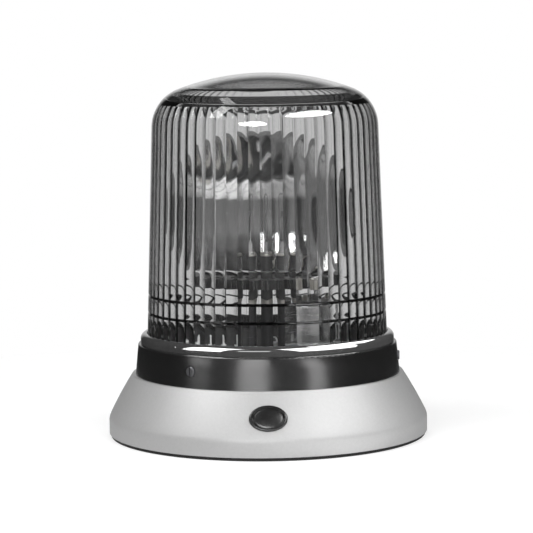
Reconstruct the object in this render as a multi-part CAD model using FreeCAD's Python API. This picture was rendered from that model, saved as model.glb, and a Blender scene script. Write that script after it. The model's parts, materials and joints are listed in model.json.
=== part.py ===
"""Rotating beacon: a fluted clear lens over a parabolic reflector that a small motor turns about a
fixed lamp, on a flared cast base. Millimetres, +Z up, origin at the centre of the base's underside,
front (the side with the oval plug) towards -Y."""

import FreeCAD, Part
import math
import os

Vector = FreeCAD.Vector
UP = Vector(0, 0, 1)

# ---------------------------------------------------------------- clearances
CURVED_GAP = 0.3          # between curved faces of pieces that lift or turn past each other
NEST_GAP = 0.15           # between curved faces of pieces assembled for good
RUNNING_GAP = 0.04        # radial clearance of a shaft in its bearing
SCREW_GAP = 0.25          # radial clearance of a screw in its hole
CUT_OVER = 1.0            # how far a cutting tool runs past the face it opens
JOIN = 0.2                # how far joined shapes run into each other
PICK = 0.01               # tolerance for picking an edge by its place

# ---------------------------------------------------------------- base casting
GASKET_T = 2.0            # rubber mat under the base
GASKET_INSET = 1.2        # mat edge inside the base's edge
DECK_LEDGE = 2.25         # deck that shows outside the clamp band
SKIRT_FLARE = 15.0        # foot beyond the skirt's top
FOOT_H = 10.0             # upright rim above the mat
FOOT_FILLET_R = 8.0       # blend between the rim and the flared skirt
SKIRT_BULGE = 0.5         # outward bow of the skirt against a straight cone
BASE_H = 37.0             # mat to deck
BASE_WALL = 3.5
DECK_T = 4.0
SPIGOT_STEP = 0.3         # upstand that carries the seal and the lens, beyond the lens flange
SPIGOT_WALL = 4.0
SPIGOT_H = 18.0
BOLT_INSET = 8.9          # fixing bolts, from the spigot's inner face
BOLT_COUNT = 3
BOLT_HOLE_R = 4.25
BOLT_BOSS_R = 8.5
BOLT_START_DEG = 90.0
BOLT_RELIEF_R = 11.5      # room for a socket around each bolt head
RIB_T = 3.0

# ---------------------------------------------------------------- oval plug on the skirt
PLUG_W = 23.0
PLUG_H = 16.5
PLUG_DROP = 14.5          # its centre below the deck
PLUG_RECESS = 1.7         # depth of its seat
PLUG_PROUD = 0.9          # stands out of the skirt
PLUG_ROUND_R = 0.7        # rounded edge of its face

# ---------------------------------------------------------------- lens and its ring
SEAL_T = 2.5
SEAL_W = 3.2
LENS_FLANGE_T = 3.0
LENS_FLANGE_W = 1.6       # flange beyond the lens wall
LENS_FOOT_R = 76.0        # outer wall just above the flange
LENS_DRAFT_DEG = 2.0
LENS_WALL = 4.5
SHOULDER_R = 26.0
CROWN_R = 156.0
LEDGE_DROP = 22.0         # level ledge inside, below the crown
LEDGE_CLEAR = 13.7        # ledge above the dish's rim
LEDGE_IN_R = 56.0         # inner edge of the ledge
LENS_GROOVES = (13.5, 24.5)   # two thin grooves outside, above the flange
LENS_GROOVE_DEPTH = 0.7
LENS_GROOVE_HALF = 0.55   # half of a groove's width
FLUTE_COUNT = 64          # upright flutes inside the wall
FLUTE_DEPTH = 0.8
FLUTE_FLAT = 0.05         # how far the flutes' tool stays inside the plain wall between two flutes
FLUTE_STOP = 2.0          # flutes end below the shoulder
RING_LIP_T = 2.5          # lip of the lens ring over the flange
RING_LIP_GAP = 0.4        # lip to lens wall
RING_SHOULDER_R = 3.4     # rounded top edge
RING_COLLAR_H = 6.0       # visible height of the lens ring
RING_SKIRT_T = 1.5        # thin skirt that goes down inside the clamp band
RING_COLLAR_W = 0.6       # collar beyond the skirt
SKIRT_CLEAR = 1.0         # skirt's end above the deck
BAND_GROOVE = 0.7         # groove between collar and clamp band
BAND_TOP_T = 2.0
BAND_FOOT_T = 3.9
BAND_ROUND_R = 0.8
RING_SCREW_COUNT = 3
RING_SCREW_START_DEG = 236.0
RING_SCREW_R = 1.5
RING_SCREW_HEAD_R = 3.0
RING_SCREW_HEAD_T = 1.5
RING_SCREW_UP = 10.0      # above the deck
SPOT_FACE = 0.2           # flat seat cut into the band under each screw head

# ---------------------------------------------------------------- chassis
STANDOFF_H = 6.0
STANDOFF_R = 5.0
CHASSIS_INSET = 11.9      # plate's edge from the spigot's inner face
CHASSIS_T = 2.0
CHASSIS_SCREW_INSET = 14.0    # from the plate's edge
CHASSIS_SCREW_COUNT = 3
CHASSIS_SCREW_R = 2.0
CHASSIS_SCREW_DEPTH = 7.0
CABLE_INSET = 22.0        # cable entry, from the plate's edge
GROMMET_BORE_R = 4.0
GROMMET_NECK_R = 6.5
GROMMET_FLANGE_R = 8.5
GROMMET_LIP = 2.2         # flange thickness above and below the plate
CABLE_HOLE_R = 11.0       # through the mat and the deck

# ---------------------------------------------------------------- lamp column and lamp
COLUMN_FLANGE_R = 18.0
COLUMN_FLANGE_T = 3.0
COLUMN_R = 10.5
COLUMN_BORE_R = 5.0
JOURNAL_R = 8.0
WASHER_T = 1.0
WASHER_R = 12.5
HUB_LEN = 18.0
HUB_DROP = 10.0           # hub's foot below the teeth
CLIP_GAP = 0.4            # end play of the rotor
CLIP_T = 1.0
CLIP_R = 10.4
CLIP_GROOVE = 0.8
HOLDER_R = 11.5
HOLDER_OVER = 3.5         # holder above and below the post's end
HOLDER_GROOVE_COUNT = 8   # grip grooves down its side
HOLDER_GROOVE_R = 1.0
HOLDER_GROOVE_OUT = 0.3   # groove centres outside the holder
COLUMN_TIP = 4.6          # post above the retaining clip
LAMP_SEAT_R = 12.0
LAMP_SEAT_T = 1.5
FLANGE_SCREW_R = 1.5
FLANGE_SCREW_PCR = 14.5
FLANGE_SCREW_DEPTH = 6.0
FLANGE_SCREW_COUNT = 3
FLANGE_SCREW_START_DEG = 60.0
LAMP_FLANGE_R = 7.3
LAMP_FLANGE_T = 1.2
LAMP_CAP_R = 4.9
LAMP_CAP_H = 5.5
LAMP_GLASS_R = 4.5
LAMP_GLASS_WALL = 0.8
LAMP_GLASS_H = 33.0
FILAMENT_R = 0.7
FILAMENT_LEN = 5.0
LEAD_WIRE_R = 0.3
LAMP_PIN_R = 1.2
LAMP_PIN_LEN = 9.0
LIGHT_CENTRE = 25.0       # filament above the lamp's flange
CLIP_WIRE_R = 0.6
CLIP_Y = 9.4              # clip's bar behind the lamp, its ends as far in front
LUG_T = 1.8
LUG_L = 2.6
CATCH_T = 1.0
SEAT_HOLE_GAP = 2.5       # lamp's pin to the hole in the seat

# ---------------------------------------------------------------- rotor
MODULE = 0.8
GEAR_TOOTH_COUNT = 96
PINION_TOOTH_COUNT = 12
PRESSURE_DEG = 20.0
ADDENDUM_RATIO = 0.9      # in modules
DEDENDUM_RATIO = 1.25     # in modules
BACKLASH = 0.16
GEAR_CLEAR = 4.6          # teeth above the motor's nose
GEAR_FACE = 5.0
WEB_T = 3.0
RIM_W = 3.5
HUB_R = 14.0
BUSH_WALL = 2.5
WEB_HOLE_R = 6.5
WEB_HOLE_PCR = 25.0
WEB_HOLE_DEGS = (-90, -30, 30, 150, 210)   # the sixth place belongs to the bracket's foot
REST_TURN_DEG = -18.0     # where the reflector points at rest, from straight ahead
FOCAL = 22.0
DISH_R = 50.0
DISH_T = 1.5
DISH_CLEAR = 3.2          # flat lower edge of the dish above the teeth
DISH_LIP_W = 1.8
DISH_LIP_T = 1.5
DISH_NOTCH_GAP = 3.0      # lamp holder to the notch in the dish
DISH_SPAN_COUNT = 8       # spans of the parabola
BRACKET_W = 20.0
BRACKET_T = 1.5
BRACKET_BACK = 4.0        # bracket face behind the dish's inner vertex
BRACKET_TOP = 18.0        # above the focus
BRACKET_FLANGE = 5.0      # folded side flanges
BOSS_R = 4.0
BOSS_SPREAD = 11.0        # each dish boss above or below the focus
ROTOR_SCREW_R = 1.5
ROTOR_SCREW_HEAD_R = 2.8
ROTOR_SCREW_HEAD_T = 1.6
ROTOR_SCREW_DEPTH = 2.6

# ---------------------------------------------------------------- motor
MOTOR_DEG = -53.8         # motor's place round the axis
MOTOR_R = 13.5
MOTOR_LEN = 36.0
MOTOR_ROUND_R = 1.2       # rolled upper edge
MOTOR_CAP_R = 12.2
MOTOR_CAP_T = 2.0
MOTOR_NOSE_R = 4.0
MOTOR_NOSE_H = 2.4
SHAFT_R = 1.2
SHAFT_IN_MOTOR = 8.0
SHAFT_END_GAP = 0.5
SHAFT_PROUD = 0.9         # shaft beyond the pinion
PINION_GAP = 0.5          # pinion taller than the gear, each side
SLEEVE_T = 1.8
CUP_WALL = 1.2
CUP_H = 16.0
EAR_R = 5.0
EAR_REACH = 21.5
EAR_T = 1.5
EAR_SCREW_R = 1.5
EAR_SCREW_DEPTH = 5.0
TAG_W = 2.8
TAG_T = 0.5
TAG_H = 5.0
TAG_SPREAD = 7.5

# ---------------------------------------------------------------- terminal block and suppressor
BLOCK_INSET = 24.0        # its middle from the plate's edge
BLOCK_W = 15.0
BLOCK_L = 30.0
BLOCK_H = 12.0
BLOCK_POLE_COUNT = 3
BLOCK_STEP = 3.0          # barrels above the block's top
BLOCK_FLOOR = 1.0         # under the clamp screws and the barrels
BARREL_R = 3.1
BLOCK_SCREW_R = 2.1
BLOCK_SCREW_H = 5.0
WIRE_HOLE_R = 1.7
WIRE_HOLE_Z = 3.7         # above the plate
WIRE_HOLE_DEPTH = 5.25
SUPPRESSOR_INSET = 19.5   # its middle from the plate's edge
SUPPRESSOR_DEG = 43.0
SUPPRESSOR_R = 6.5
SUPPRESSOR_H = 19.0
SUPPRESSOR_FOOT = 1.5
SUPPRESSOR_ROUND_R = 1.0

SCREW_HEAD_RATIO = 1.9    # pan heads against their threads
SCREW_HEIGHT_RATIO = 1.1
SCREW_CHAMFER_RATIO = 0.35   # of the head's height
DRIVE_DEPTH = 0.8         # slot in a screw head
DRIVE_W = 0.8

# ---------------------------------------------------------------- levels and radii that follow
DECK_Z = GASKET_T + BASE_H
PLUG_Z = DECK_Z - PLUG_DROP
SPIGOT_TOP = DECK_Z + SPIGOT_H
LENS_Z = SPIGOT_TOP + SEAL_T
FLANGE_TOP = LENS_Z + LENS_FLANGE_T
FLANGE_R = LENS_FOOT_R + LENS_FLANGE_W
SPIGOT_R = FLANGE_R + SPIGOT_STEP
SPIGOT_IN_R = SPIGOT_R - SPIGOT_WALL
BOLT_PCR = SPIGOT_IN_R - BOLT_INSET
RING_BORE_R = SPIGOT_R + CURVED_GAP
RING_SKIRT_R = RING_BORE_R + RING_SKIRT_T
COLLAR_R = RING_SKIRT_R + RING_COLLAR_W
RING_TOP = FLANGE_TOP + RING_LIP_T
COLLAR_Z = RING_TOP - RING_COLLAR_H
RING_SCREW_Z = DECK_Z + RING_SCREW_UP
BAND_TOP = COLLAR_Z - BAND_GROOVE
BAND_BORE_R = RING_SKIRT_R + NEST_GAP
SKIRT_TOP_R = BAND_BORE_R + BAND_FOOT_T + DECK_LEDGE
BASE_R = SKIRT_TOP_R + SKIRT_FLARE
CHASSIS_R = SPIGOT_IN_R - CHASSIS_INSET
CHASSIS_SCREW_PCR = CHASSIS_R - CHASSIS_SCREW_INSET
PLATE_Z = DECK_Z + STANDOFF_H
PLATE_TOP = PLATE_Z + CHASSIS_T
CABLE_POS = (0.0, CHASSIS_R - CABLE_INSET)
BLOCK_POS = (BLOCK_INSET - CHASSIS_R, 0.0)
GEAR_PITCH_R = MODULE * GEAR_TOOTH_COUNT / 2
PINION_PITCH_R = MODULE * PINION_TOOTH_COUNT / 2
MOTOR_PCR = GEAR_PITCH_R + PINION_PITCH_R
MOTOR_FLOOR = PLATE_TOP + CUP_WALL + SLEEVE_T
MOTOR_TOP = MOTOR_FLOOR + MOTOR_LEN
NOSE_TOP = MOTOR_TOP + MOTOR_CAP_T + MOTOR_NOSE_H
GEAR_Z = NOSE_TOP + GEAR_CLEAR
GEAR_TOP = GEAR_Z + GEAR_FACE
GEAR_ROOT_R = GEAR_PITCH_R - DEDENDUM_RATIO * MODULE
WEB_TOP = GEAR_Z + WEB_T
SHAFT_TOP_Z = GEAR_TOP + PINION_GAP + SHAFT_PROUD
HUB_Z = GEAR_Z - HUB_DROP
HUB_TOP = HUB_Z + HUB_LEN
THRUST_Z = HUB_Z - WASHER_T
BUSH_R = JOURNAL_R + RUNNING_GAP + BUSH_WALL
COLUMN_TOP_Z = HUB_TOP + CLIP_GAP + CLIP_T + COLUMN_TIP
LAMP_SEAT_Z = COLUMN_TOP_Z + HOLDER_OVER
LAMP_Z = LAMP_SEAT_Z + LAMP_SEAT_T
FOCUS_Z = LAMP_Z + LIGHT_CENTRE
DISH_CUT_Z = GEAR_TOP + DISH_CLEAR
LEDGE_Z = FOCUS_Z + DISH_R + DISH_T + DISH_LIP_W + LEDGE_CLEAR
CROWN_Z = LEDGE_Z + LEDGE_DROP
CLIP_HALF = LAMP_CAP_R + NEST_GAP + CLIP_WIRE_R + CURVED_GAP
CLIP_Z = LAMP_Z + LAMP_FLANGE_T + CLIP_WIRE_R + RUNNING_GAP
DISH_NOTCH_R = LAMP_SEAT_R + DISH_NOTCH_GAP
BRACKET_Y = FOCAL + BRACKET_BACK
BRACKET_FOOT_Y = HUB_R + CURVED_GAP


# ================================================================ small helpers
def polar(radius, degrees, z=0.0):
    """Point at a radius and an angle about the beacon's axis."""
    turn = math.radians(degrees)
    return Vector(radius * math.cos(turn), radius * math.sin(turn), z)


def spread(count, start):
    """Angles of evenly spaced copies."""
    return [start + 360.0 * k / count for k in range(count)]


def rod(radius, z0, z1, at=(0.0, 0.0)):
    """Upright cylinder between two heights."""
    return Part.makeCylinder(radius, z1 - z0, Vector(at[0], at[1], z0), UP)


def tube(r_in, r_out, z0, z1, at=(0.0, 0.0)):
    """Upright ring between two heights."""
    return rod(r_out, z0, z1, at).cut(rod(r_in, z0 - CUT_OVER, z1 + CUT_OVER, at))


def block(x0, x1, y0, y1, z0, z1):
    """Upright box between its limits."""
    return Part.makeBox(x1 - x0, y1 - y0, z1 - z0, Vector(x0, y0, z0))


def line(p, q):
    """Straight edge between (radius, height) points."""
    return Part.LineSegment(Vector(p[0], 0, p[1]), Vector(q[0], 0, q[1])).toShape()


def arc(p, m, q):
    """Arc through three (radius, height) points."""
    return Part.Arc(Vector(p[0], 0, p[1]), Vector(m[0], 0, m[1]), Vector(q[0], 0, q[1])).toShape()


def bowed(p, q, bow):
    """Arc between two points whose middle stands off the chord by bow, to the right going from p to q."""
    dx, dz = q[0] - p[0], q[1] - p[1]
    size = math.hypot(dx, dz)
    middle = ((p[0] + q[0]) / 2 + bow * dz / size, (p[1] + q[1]) / 2 - bow * dx / size)
    return arc(p, middle, q)


def chain(points):
    """Straight edges through a list of points, left open."""
    return [line(p, q) for p, q in zip(points, points[1:])]


def turned(edges):
    """Solid of revolution of a closed outline of edges about the Z axis."""
    face = Part.Face(Part.Wire(edges))
    solid = face.revolve(Vector(0, 0, 0), UP, 360)
    return Part.makeSolid(solid.Shells[0]) if solid.ShapeType != "Solid" else solid


def turned_points(points):
    """Solid of revolution of a closed polygon of (radius, height) points."""
    return turned(chain(points + points[:1]))


def whole(shape):
    """One clean solid out of a fused shape."""
    return shape.removeSplitter()


def rotated(shape, degrees, axis=UP, centre=Vector(0, 0, 0)):
    """Copy of a shape turned about a centre."""
    copy = shape.copy()
    copy.rotate(centre, axis, degrees)
    return copy


def moved(shape, x, y, z=0.0):
    """Copy of a shape shifted."""
    copy = shape.copy()
    copy.translate(Vector(x, y, z))
    return copy


def screw(radius, depth, head_r=None, head_t=None):
    """Pan-head screw pointing down, with the underside of its head at the origin."""
    head_r = head_r or radius * SCREW_HEAD_RATIO
    head_t = head_t or radius * SCREW_HEIGHT_RATIO
    chamfer = head_t * SCREW_CHAMFER_RATIO
    body = turned_points([(0, -depth), (radius, -depth), (radius, 0), (head_r, 0), (head_r, head_t - chamfer),
                          (head_r - chamfer, head_t), (0, head_t)])
    slot = block(-head_r, head_r, -DRIVE_W / 2, DRIVE_W / 2, head_t - DRIVE_DEPTH, head_t + CUT_OVER)
    return body.cut(slot)


def group(shapes):
    """Several separate solids as one node."""
    return Part.makeCompound(shapes)


# ================================================================ base
def skirt_arc(inset):
    """Bowed outline of the flared skirt, set in from its outer face; from the rim up to the deck."""
    low = (BASE_R - inset, GASKET_T + FOOT_H)
    high = (SKIRT_TOP_R - inset, DECK_Z - (DECK_T if inset else 0))
    return low, high, bowed(low, high, SKIRT_BULGE)


def base_blank():
    """Turned body of the casting: foot rim, flared skirt, deck and spigot."""
    low, high, outer = skirt_arc(0)
    in_low, in_high, inner = skirt_arc(BASE_WALL)
    outside = chain([(BASE_R, GASKET_T), low])
    top = chain([high, (SPIGOT_R, DECK_Z), (SPIGOT_R, SPIGOT_TOP), (SPIGOT_IN_R, SPIGOT_TOP),
                 (SPIGOT_IN_R, DECK_Z), (0, DECK_Z), (0, DECK_Z - DECK_T), in_high])
    inside = chain([in_low, (BASE_R - BASE_WALL, GASKET_T), (BASE_R, GASKET_T)])
    blank = turned(outside + [outer] + top + [inner] + inside)
    rim = [e for e in blank.Edges if abs(e.CenterOfMass.z - low[1]) < PICK and e.BoundBox.XMax > BASE_R - PICK]
    return blank.makeFillet(FOOT_FILLET_R, rim)


def plug_frame():
    """Centre of the oval plug on the skirt and the skirt's outward normal there."""
    low, high, outer = skirt_arc(0)
    cut = Part.LineSegment(Vector(0, 0, PLUG_Z), Vector(2 * BASE_R, 0, PLUG_Z)).toShape()
    near = outer.distToShape(cut)[1][0][0]
    tangent = outer.tangentAt(outer.Curve.parameter(near))
    normal = Vector(abs(tangent.z), 0, abs(tangent.x))
    front = FreeCAD.Rotation(UP, -90)
    return front.multVec(near), front.multVec(normal)


def oval(width, height, thickness, from_surface):
    """Oval slab facing along the skirt's normal; from_surface places its outer face."""
    centre, normal = plug_frame()
    ellipse = Part.Ellipse(Vector(0, 0, 0), width / 2, height / 2)
    slab = Part.Face(Part.Wire(ellipse.toShape())).extrude(Vector(0, 0, thickness))
    slab.translate(Vector(0, 0, from_surface - thickness))
    slab.Placement = FreeCAD.Placement(centre, FreeCAD.Rotation(UP, normal)).multiply(slab.Placement)
    return slab


def base_housing():
    """Cast base: skirt, deck with bolt bosses and ribs below, standoffs above, holes for bolts and cable."""
    solid = base_blank()
    under_deck = DECK_Z - DECK_T / 2
    for angle in spread(BOLT_COUNT, BOLT_START_DEG):
        x, y = polar(BOLT_PCR, angle)[:2]
        solid = solid.fuse(rod(BOLT_BOSS_R, GASKET_T, under_deck, (x, y)))
        rib = block(BOLT_PCR, SKIRT_TOP_R - BASE_WALL / 2, -RIB_T / 2, RIB_T / 2, GASKET_T + FOOT_H, under_deck)
        solid = solid.fuse(rotated(rib, angle))
    for angle in spread(CHASSIS_SCREW_COUNT, 0):
        x, y = polar(CHASSIS_SCREW_PCR, angle)[:2]
        solid = solid.fuse(rod(STANDOFF_R, DECK_Z - DECK_T / 2, PLATE_Z, (x, y)))
    for angle in spread(BOLT_COUNT, BOLT_START_DEG):
        solid = solid.cut(rod(BOLT_HOLE_R, 0, SPIGOT_TOP, polar(BOLT_PCR, angle)[:2]))
    for angle in spread(CHASSIS_SCREW_COUNT, 0):
        hole = rod(CHASSIS_SCREW_R + SCREW_GAP, PLATE_TOP - CHASSIS_SCREW_DEPTH - SCREW_GAP, PLATE_TOP,
                   polar(CHASSIS_SCREW_PCR, angle)[:2])
        solid = solid.cut(hole)
    solid = solid.cut(rod(CABLE_HOLE_R, 0, SPIGOT_TOP, CABLE_POS))
    seat = oval(PLUG_W, PLUG_H, PLUG_RECESS + BASE_WALL, BASE_WALL)
    return whole(solid.cut(seat))


def base_gasket():
    """Flat rubber mat under the base, open at the bolts and the cable."""
    mat = rod(BASE_R - GASKET_INSET, 0, GASKET_T)
    for angle in spread(BOLT_COUNT, BOLT_START_DEG):
        mat = mat.cut(rod(BOLT_HOLE_R, -CUT_OVER, GASKET_T + CUT_OVER, polar(BOLT_PCR, angle)[:2]))
    return mat.cut(rod(CABLE_HOLE_R, -CUT_OVER, GASKET_T + CUT_OVER, CABLE_POS))


def badge_plug():
    """Bare oval plug in its seat on the skirt, with a rounded face."""
    slab = oval(PLUG_W - 2 * NEST_GAP, PLUG_H - 2 * NEST_GAP, PLUG_RECESS + PLUG_PROUD, PLUG_PROUD)
    centre, normal = plug_frame()
    outer = [e for e in slab.Edges if (e.CenterOfMass - centre).dot(normal) > PLUG_PROUD - PICK]
    return slab.makeFillet(PLUG_ROUND_R, outer)


def cable_grommet():
    """Rubber grommet that grips the chassis plate around its cable hole."""
    low, high = PLATE_Z, PLATE_TOP
    end_r = (GROMMET_NECK_R + GROMMET_FLANGE_R) / 2
    points = [(GROMMET_BORE_R, low - GROMMET_LIP), (end_r, low - GROMMET_LIP),
              (GROMMET_FLANGE_R, low), (GROMMET_NECK_R, low), (GROMMET_NECK_R, high),
              (GROMMET_FLANGE_R, high), (end_r, high + GROMMET_LIP), (GROMMET_BORE_R, high + GROMMET_LIP)]
    return moved(turned_points(points), *CABLE_POS)


# ================================================================ lens cover
def lens_outline(inset):
    """Outline of the lens set in from its outer face: wall radius by height, and the points of its arcs.

    The shoulder's arc touches both the drafted wall and the crown's arc; insetting every
    radius about the same centres gives the inner face."""
    lean = math.radians(LENS_DRAFT_DEG)
    crown_c = CROWN_Z - CROWN_R
    reach = CROWN_R - SHOULDER_R

    def wall_r(z):
        return LENS_FOOT_R - (z - FLANGE_TOP) * math.tan(lean)

    centre_z = CROWN_Z - SHOULDER_R
    for _ in range(20):
        centre_r = wall_r(centre_z) - SHOULDER_R / math.cos(lean)
        centre_z = crown_c + math.sqrt(reach ** 2 - centre_r ** 2)
    top_angle = math.atan2(centre_z - crown_c, centre_r)
    ledge_angle = math.asin((LEDGE_Z - centre_z) / (SHOULDER_R - inset))
    small, large = SHOULDER_R - inset, CROWN_R - inset

    def on_shoulder(angle):
        return centre_r + small * math.cos(angle), centre_z + small * math.sin(angle)

    crown_middle = (math.pi / 2 + top_angle) / 2
    return {
        "wall": lambda z: (wall_r(z) - inset / math.cos(lean), z),
        "wall_top": on_shoulder(lean),
        "shoulder_middle": on_shoulder((top_angle + lean) / 2),
        "shoulder_top": on_shoulder(top_angle),
        "ledge_middle": on_shoulder((ledge_angle + lean) / 2),
        "ledge": on_shoulder(ledge_angle),
        "crown_middle": (large * math.cos(crown_middle), crown_c + large * math.sin(crown_middle)),
        "crown": (0.0, CROWN_Z - inset),
    }


def lens_outside():
    """Edges of the outer face from the flange to the crown, with a V groove at each groove's height."""
    outline = lens_outline(0)
    points = [outline["wall"](FLANGE_TOP)]
    for above in LENS_GROOVES:
        z = FLANGE_TOP + above
        r = outline["wall"](z)[0]
        points += [outline["wall"](z - LENS_GROOVE_HALF), (r - LENS_GROOVE_DEPTH, z),
                   outline["wall"](z + LENS_GROOVE_HALF)]
    return chain(points + [outline["wall_top"]]) + [
        arc(outline["wall_top"], outline["shoulder_middle"], outline["shoulder_top"]),
        arc(outline["shoulder_top"], outline["crown_middle"], outline["crown"])]


def lens_inside():
    """Edges of the inner face from its foot to the crown, with the level ledge under the crown."""
    outline = lens_outline(LENS_WALL)
    return [line(outline["wall"](LENS_Z), outline["wall_top"]),
            arc(outline["wall_top"], outline["ledge_middle"], outline["ledge"]),
            line(outline["ledge"], (LEDGE_IN_R, LEDGE_Z)),
            line((LEDGE_IN_R, LEDGE_Z), outline["shoulder_top"]),
            arc(outline["shoulder_top"], outline["crown_middle"], outline["crown"])]


def flute_tool():
    """Drafted star that cuts the flutes into the inner wall; every side is flat, four to a flute."""
    inner = lens_outline(LENS_WALL)
    low, high = LENS_Z - CUT_OVER, inner["wall_top"][1] - FLUTE_STOP
    low_r, high_r = inner["wall"](low)[0], inner["wall"](high)[0]
    depths = (-FLUTE_FLAT, FLUTE_DEPTH * math.sqrt(0.5), FLUTE_DEPTH, FLUTE_DEPTH * math.sqrt(0.5))
    star = []
    for angle, depth in zip(spread(FLUTE_COUNT * len(depths), 0), depths * FLUTE_COUNT):
        star.append(polar(low_r + depth, angle, low))
    top = [Vector(p.x * high_r / low_r, p.y * high_r / low_r, high) for p in star]
    ring = list(zip(star, star[1:] + star[:1], top[1:] + top[:1], top))
    outlines = ring + [star, top[::-1]]
    faces = [Part.Face(Part.makePolygon([*outline, outline[0]])) for outline in outlines]
    return Part.makeSolid(Part.makeShell(faces))


def dome_lens():
    """Clear lens: drafted and fluted wall, round shoulder, shallow crown, and the flange the ring holds down."""
    outer, inner = lens_outline(0), lens_outline(LENS_WALL)
    edges = lens_outside()
    edges += [line(outer["crown"], inner["crown"])]
    edges += lens_inside()[::-1]
    edges += chain([inner["wall"](LENS_Z), (FLANGE_R, LENS_Z), (FLANGE_R, FLANGE_TOP), outer["wall"](FLANGE_TOP)])
    return turned(edges).cut(flute_tool())


def dome_seal():
    """Flat rubber seal on the spigot, under the lens flange."""
    return tube(FLANGE_R - SEAL_W, FLANGE_R, SPIGOT_TOP, LENS_Z)


def band_radius(z):
    """Outer radius of the clamp band at a height."""
    rise = (z - DECK_Z) / (BAND_TOP - DECK_Z)
    return BAND_BORE_R + BAND_FOOT_T + (BAND_TOP_T - BAND_FOOT_T) * rise


def ring_screw_seat():
    """Radius of the flat seats under the ring screws' heads."""
    return band_radius(RING_SCREW_Z + RING_SCREW_HEAD_R) - SPOT_FACE


def ring_screw_drillings(radius, start):
    """Radial drillings for the ring screws, from a radius outward."""
    hole = Part.makeCylinder(radius, BASE_R, Vector(start, 0, RING_SCREW_Z), Vector(1, 0, 0))
    return [rotated(hole, angle) for angle in spread(RING_SCREW_COUNT, RING_SCREW_START_DEG)]


def lens_ring():
    """Gloss ring over the lens flange: lip, rounded shoulder, collar and thin skirt round the spigot."""
    lip_r = LENS_FOOT_R + RING_LIP_GAP
    low = DECK_Z + SKIRT_CLEAR
    corner = COLLAR_R - RING_SHOULDER_R
    bend = RING_SHOULDER_R * math.sqrt(0.5)
    centre_z = RING_TOP - RING_SHOULDER_R
    edges = chain([(corner, RING_TOP), (lip_r, RING_TOP), (lip_r, FLANGE_TOP), (RING_BORE_R, FLANGE_TOP),
                   (RING_BORE_R, low), (RING_SKIRT_R, low), (RING_SKIRT_R, COLLAR_Z),
                   (COLLAR_R, COLLAR_Z), (COLLAR_R, centre_z)])
    edges += [arc((COLLAR_R, centre_z), (corner + bend, centre_z + bend), (corner, RING_TOP))]
    return turned(edges).cut(ring_screw_drillings(RING_SCREW_R + SCREW_GAP, 0))


def clamp_band():
    """Outer band round the ring's skirt, standing on the deck, thicker at its foot."""
    band = turned_points([(BAND_BORE_R, DECK_Z), (BAND_BORE_R + BAND_FOOT_T, DECK_Z),
                          (BAND_BORE_R + BAND_TOP_T, BAND_TOP), (BAND_BORE_R, BAND_TOP)])
    top = [e for e in band.Edges
           if e.CenterOfMass.z > BAND_TOP - PICK and e.BoundBox.XMax > BAND_BORE_R + BAND_TOP_T - PICK]
    band = band.makeFillet(BAND_ROUND_R, top)
    band = band.cut(ring_screw_drillings(RING_SCREW_R + SCREW_GAP, 0))
    return band.cut(ring_screw_drillings(RING_SCREW_HEAD_R + SCREW_GAP, ring_screw_seat()))


def ring_screws():
    """Radial screws that hold band and ring on the spigot; their tips bear on it."""
    one = screw(RING_SCREW_R, ring_screw_seat() - RING_BORE_R, RING_SCREW_HEAD_R, RING_SCREW_HEAD_T)
    one = rotated(one, 90, Vector(0, 1, 0))
    one = moved(one, ring_screw_seat(), 0, RING_SCREW_Z)
    return group([rotated(one, angle) for angle in spread(RING_SCREW_COUNT, RING_SCREW_START_DEG)])


# ================================================================ chassis
def motor_centre():
    """Plan position of the motor's axis."""
    return tuple(polar(MOTOR_PCR, MOTOR_DEG)[:2])


def ear_centres():
    """Plan positions of the motor cup's two fixing ears."""
    x, y = motor_centre()
    across = polar(EAR_REACH, MOTOR_DEG + 90)
    return [(x + side * across.x, y + side * across.y) for side in (1, -1)]


def chassis_plate():
    """Round plate on the standoffs, scalloped round the fixing bolts."""
    plate = rod(CHASSIS_R, PLATE_Z, PLATE_TOP)
    low, high = PLATE_Z - CUT_OVER, PLATE_TOP + CUT_OVER
    for angle in spread(BOLT_COUNT, BOLT_START_DEG):
        plate = plate.cut(rod(BOLT_RELIEF_R, low, high, polar(BOLT_PCR, angle)[:2]))
    for angle in spread(CHASSIS_SCREW_COUNT, 0):
        plate = plate.cut(rod(CHASSIS_SCREW_R + SCREW_GAP, low, high, polar(CHASSIS_SCREW_PCR, angle)[:2]))
    for angle in spread(FLANGE_SCREW_COUNT, FLANGE_SCREW_START_DEG):
        plate = plate.cut(rod(FLANGE_SCREW_R + SCREW_GAP, low, high, polar(FLANGE_SCREW_PCR, angle)[:2]))
    for at in ear_centres():
        plate = plate.cut(rod(EAR_SCREW_R + SCREW_GAP, low, high, at))
    return plate.cut(rod(GROMMET_NECK_R + NEST_GAP, low, high, CABLE_POS))


def chassis_screws():
    """Screws through the plate into the base's standoffs."""
    one = screw(CHASSIS_SCREW_R, CHASSIS_SCREW_DEPTH)
    return group([moved(one, *polar(CHASSIS_SCREW_PCR, angle, PLATE_TOP))
                  for angle in spread(CHASSIS_SCREW_COUNT, 0)])


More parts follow.
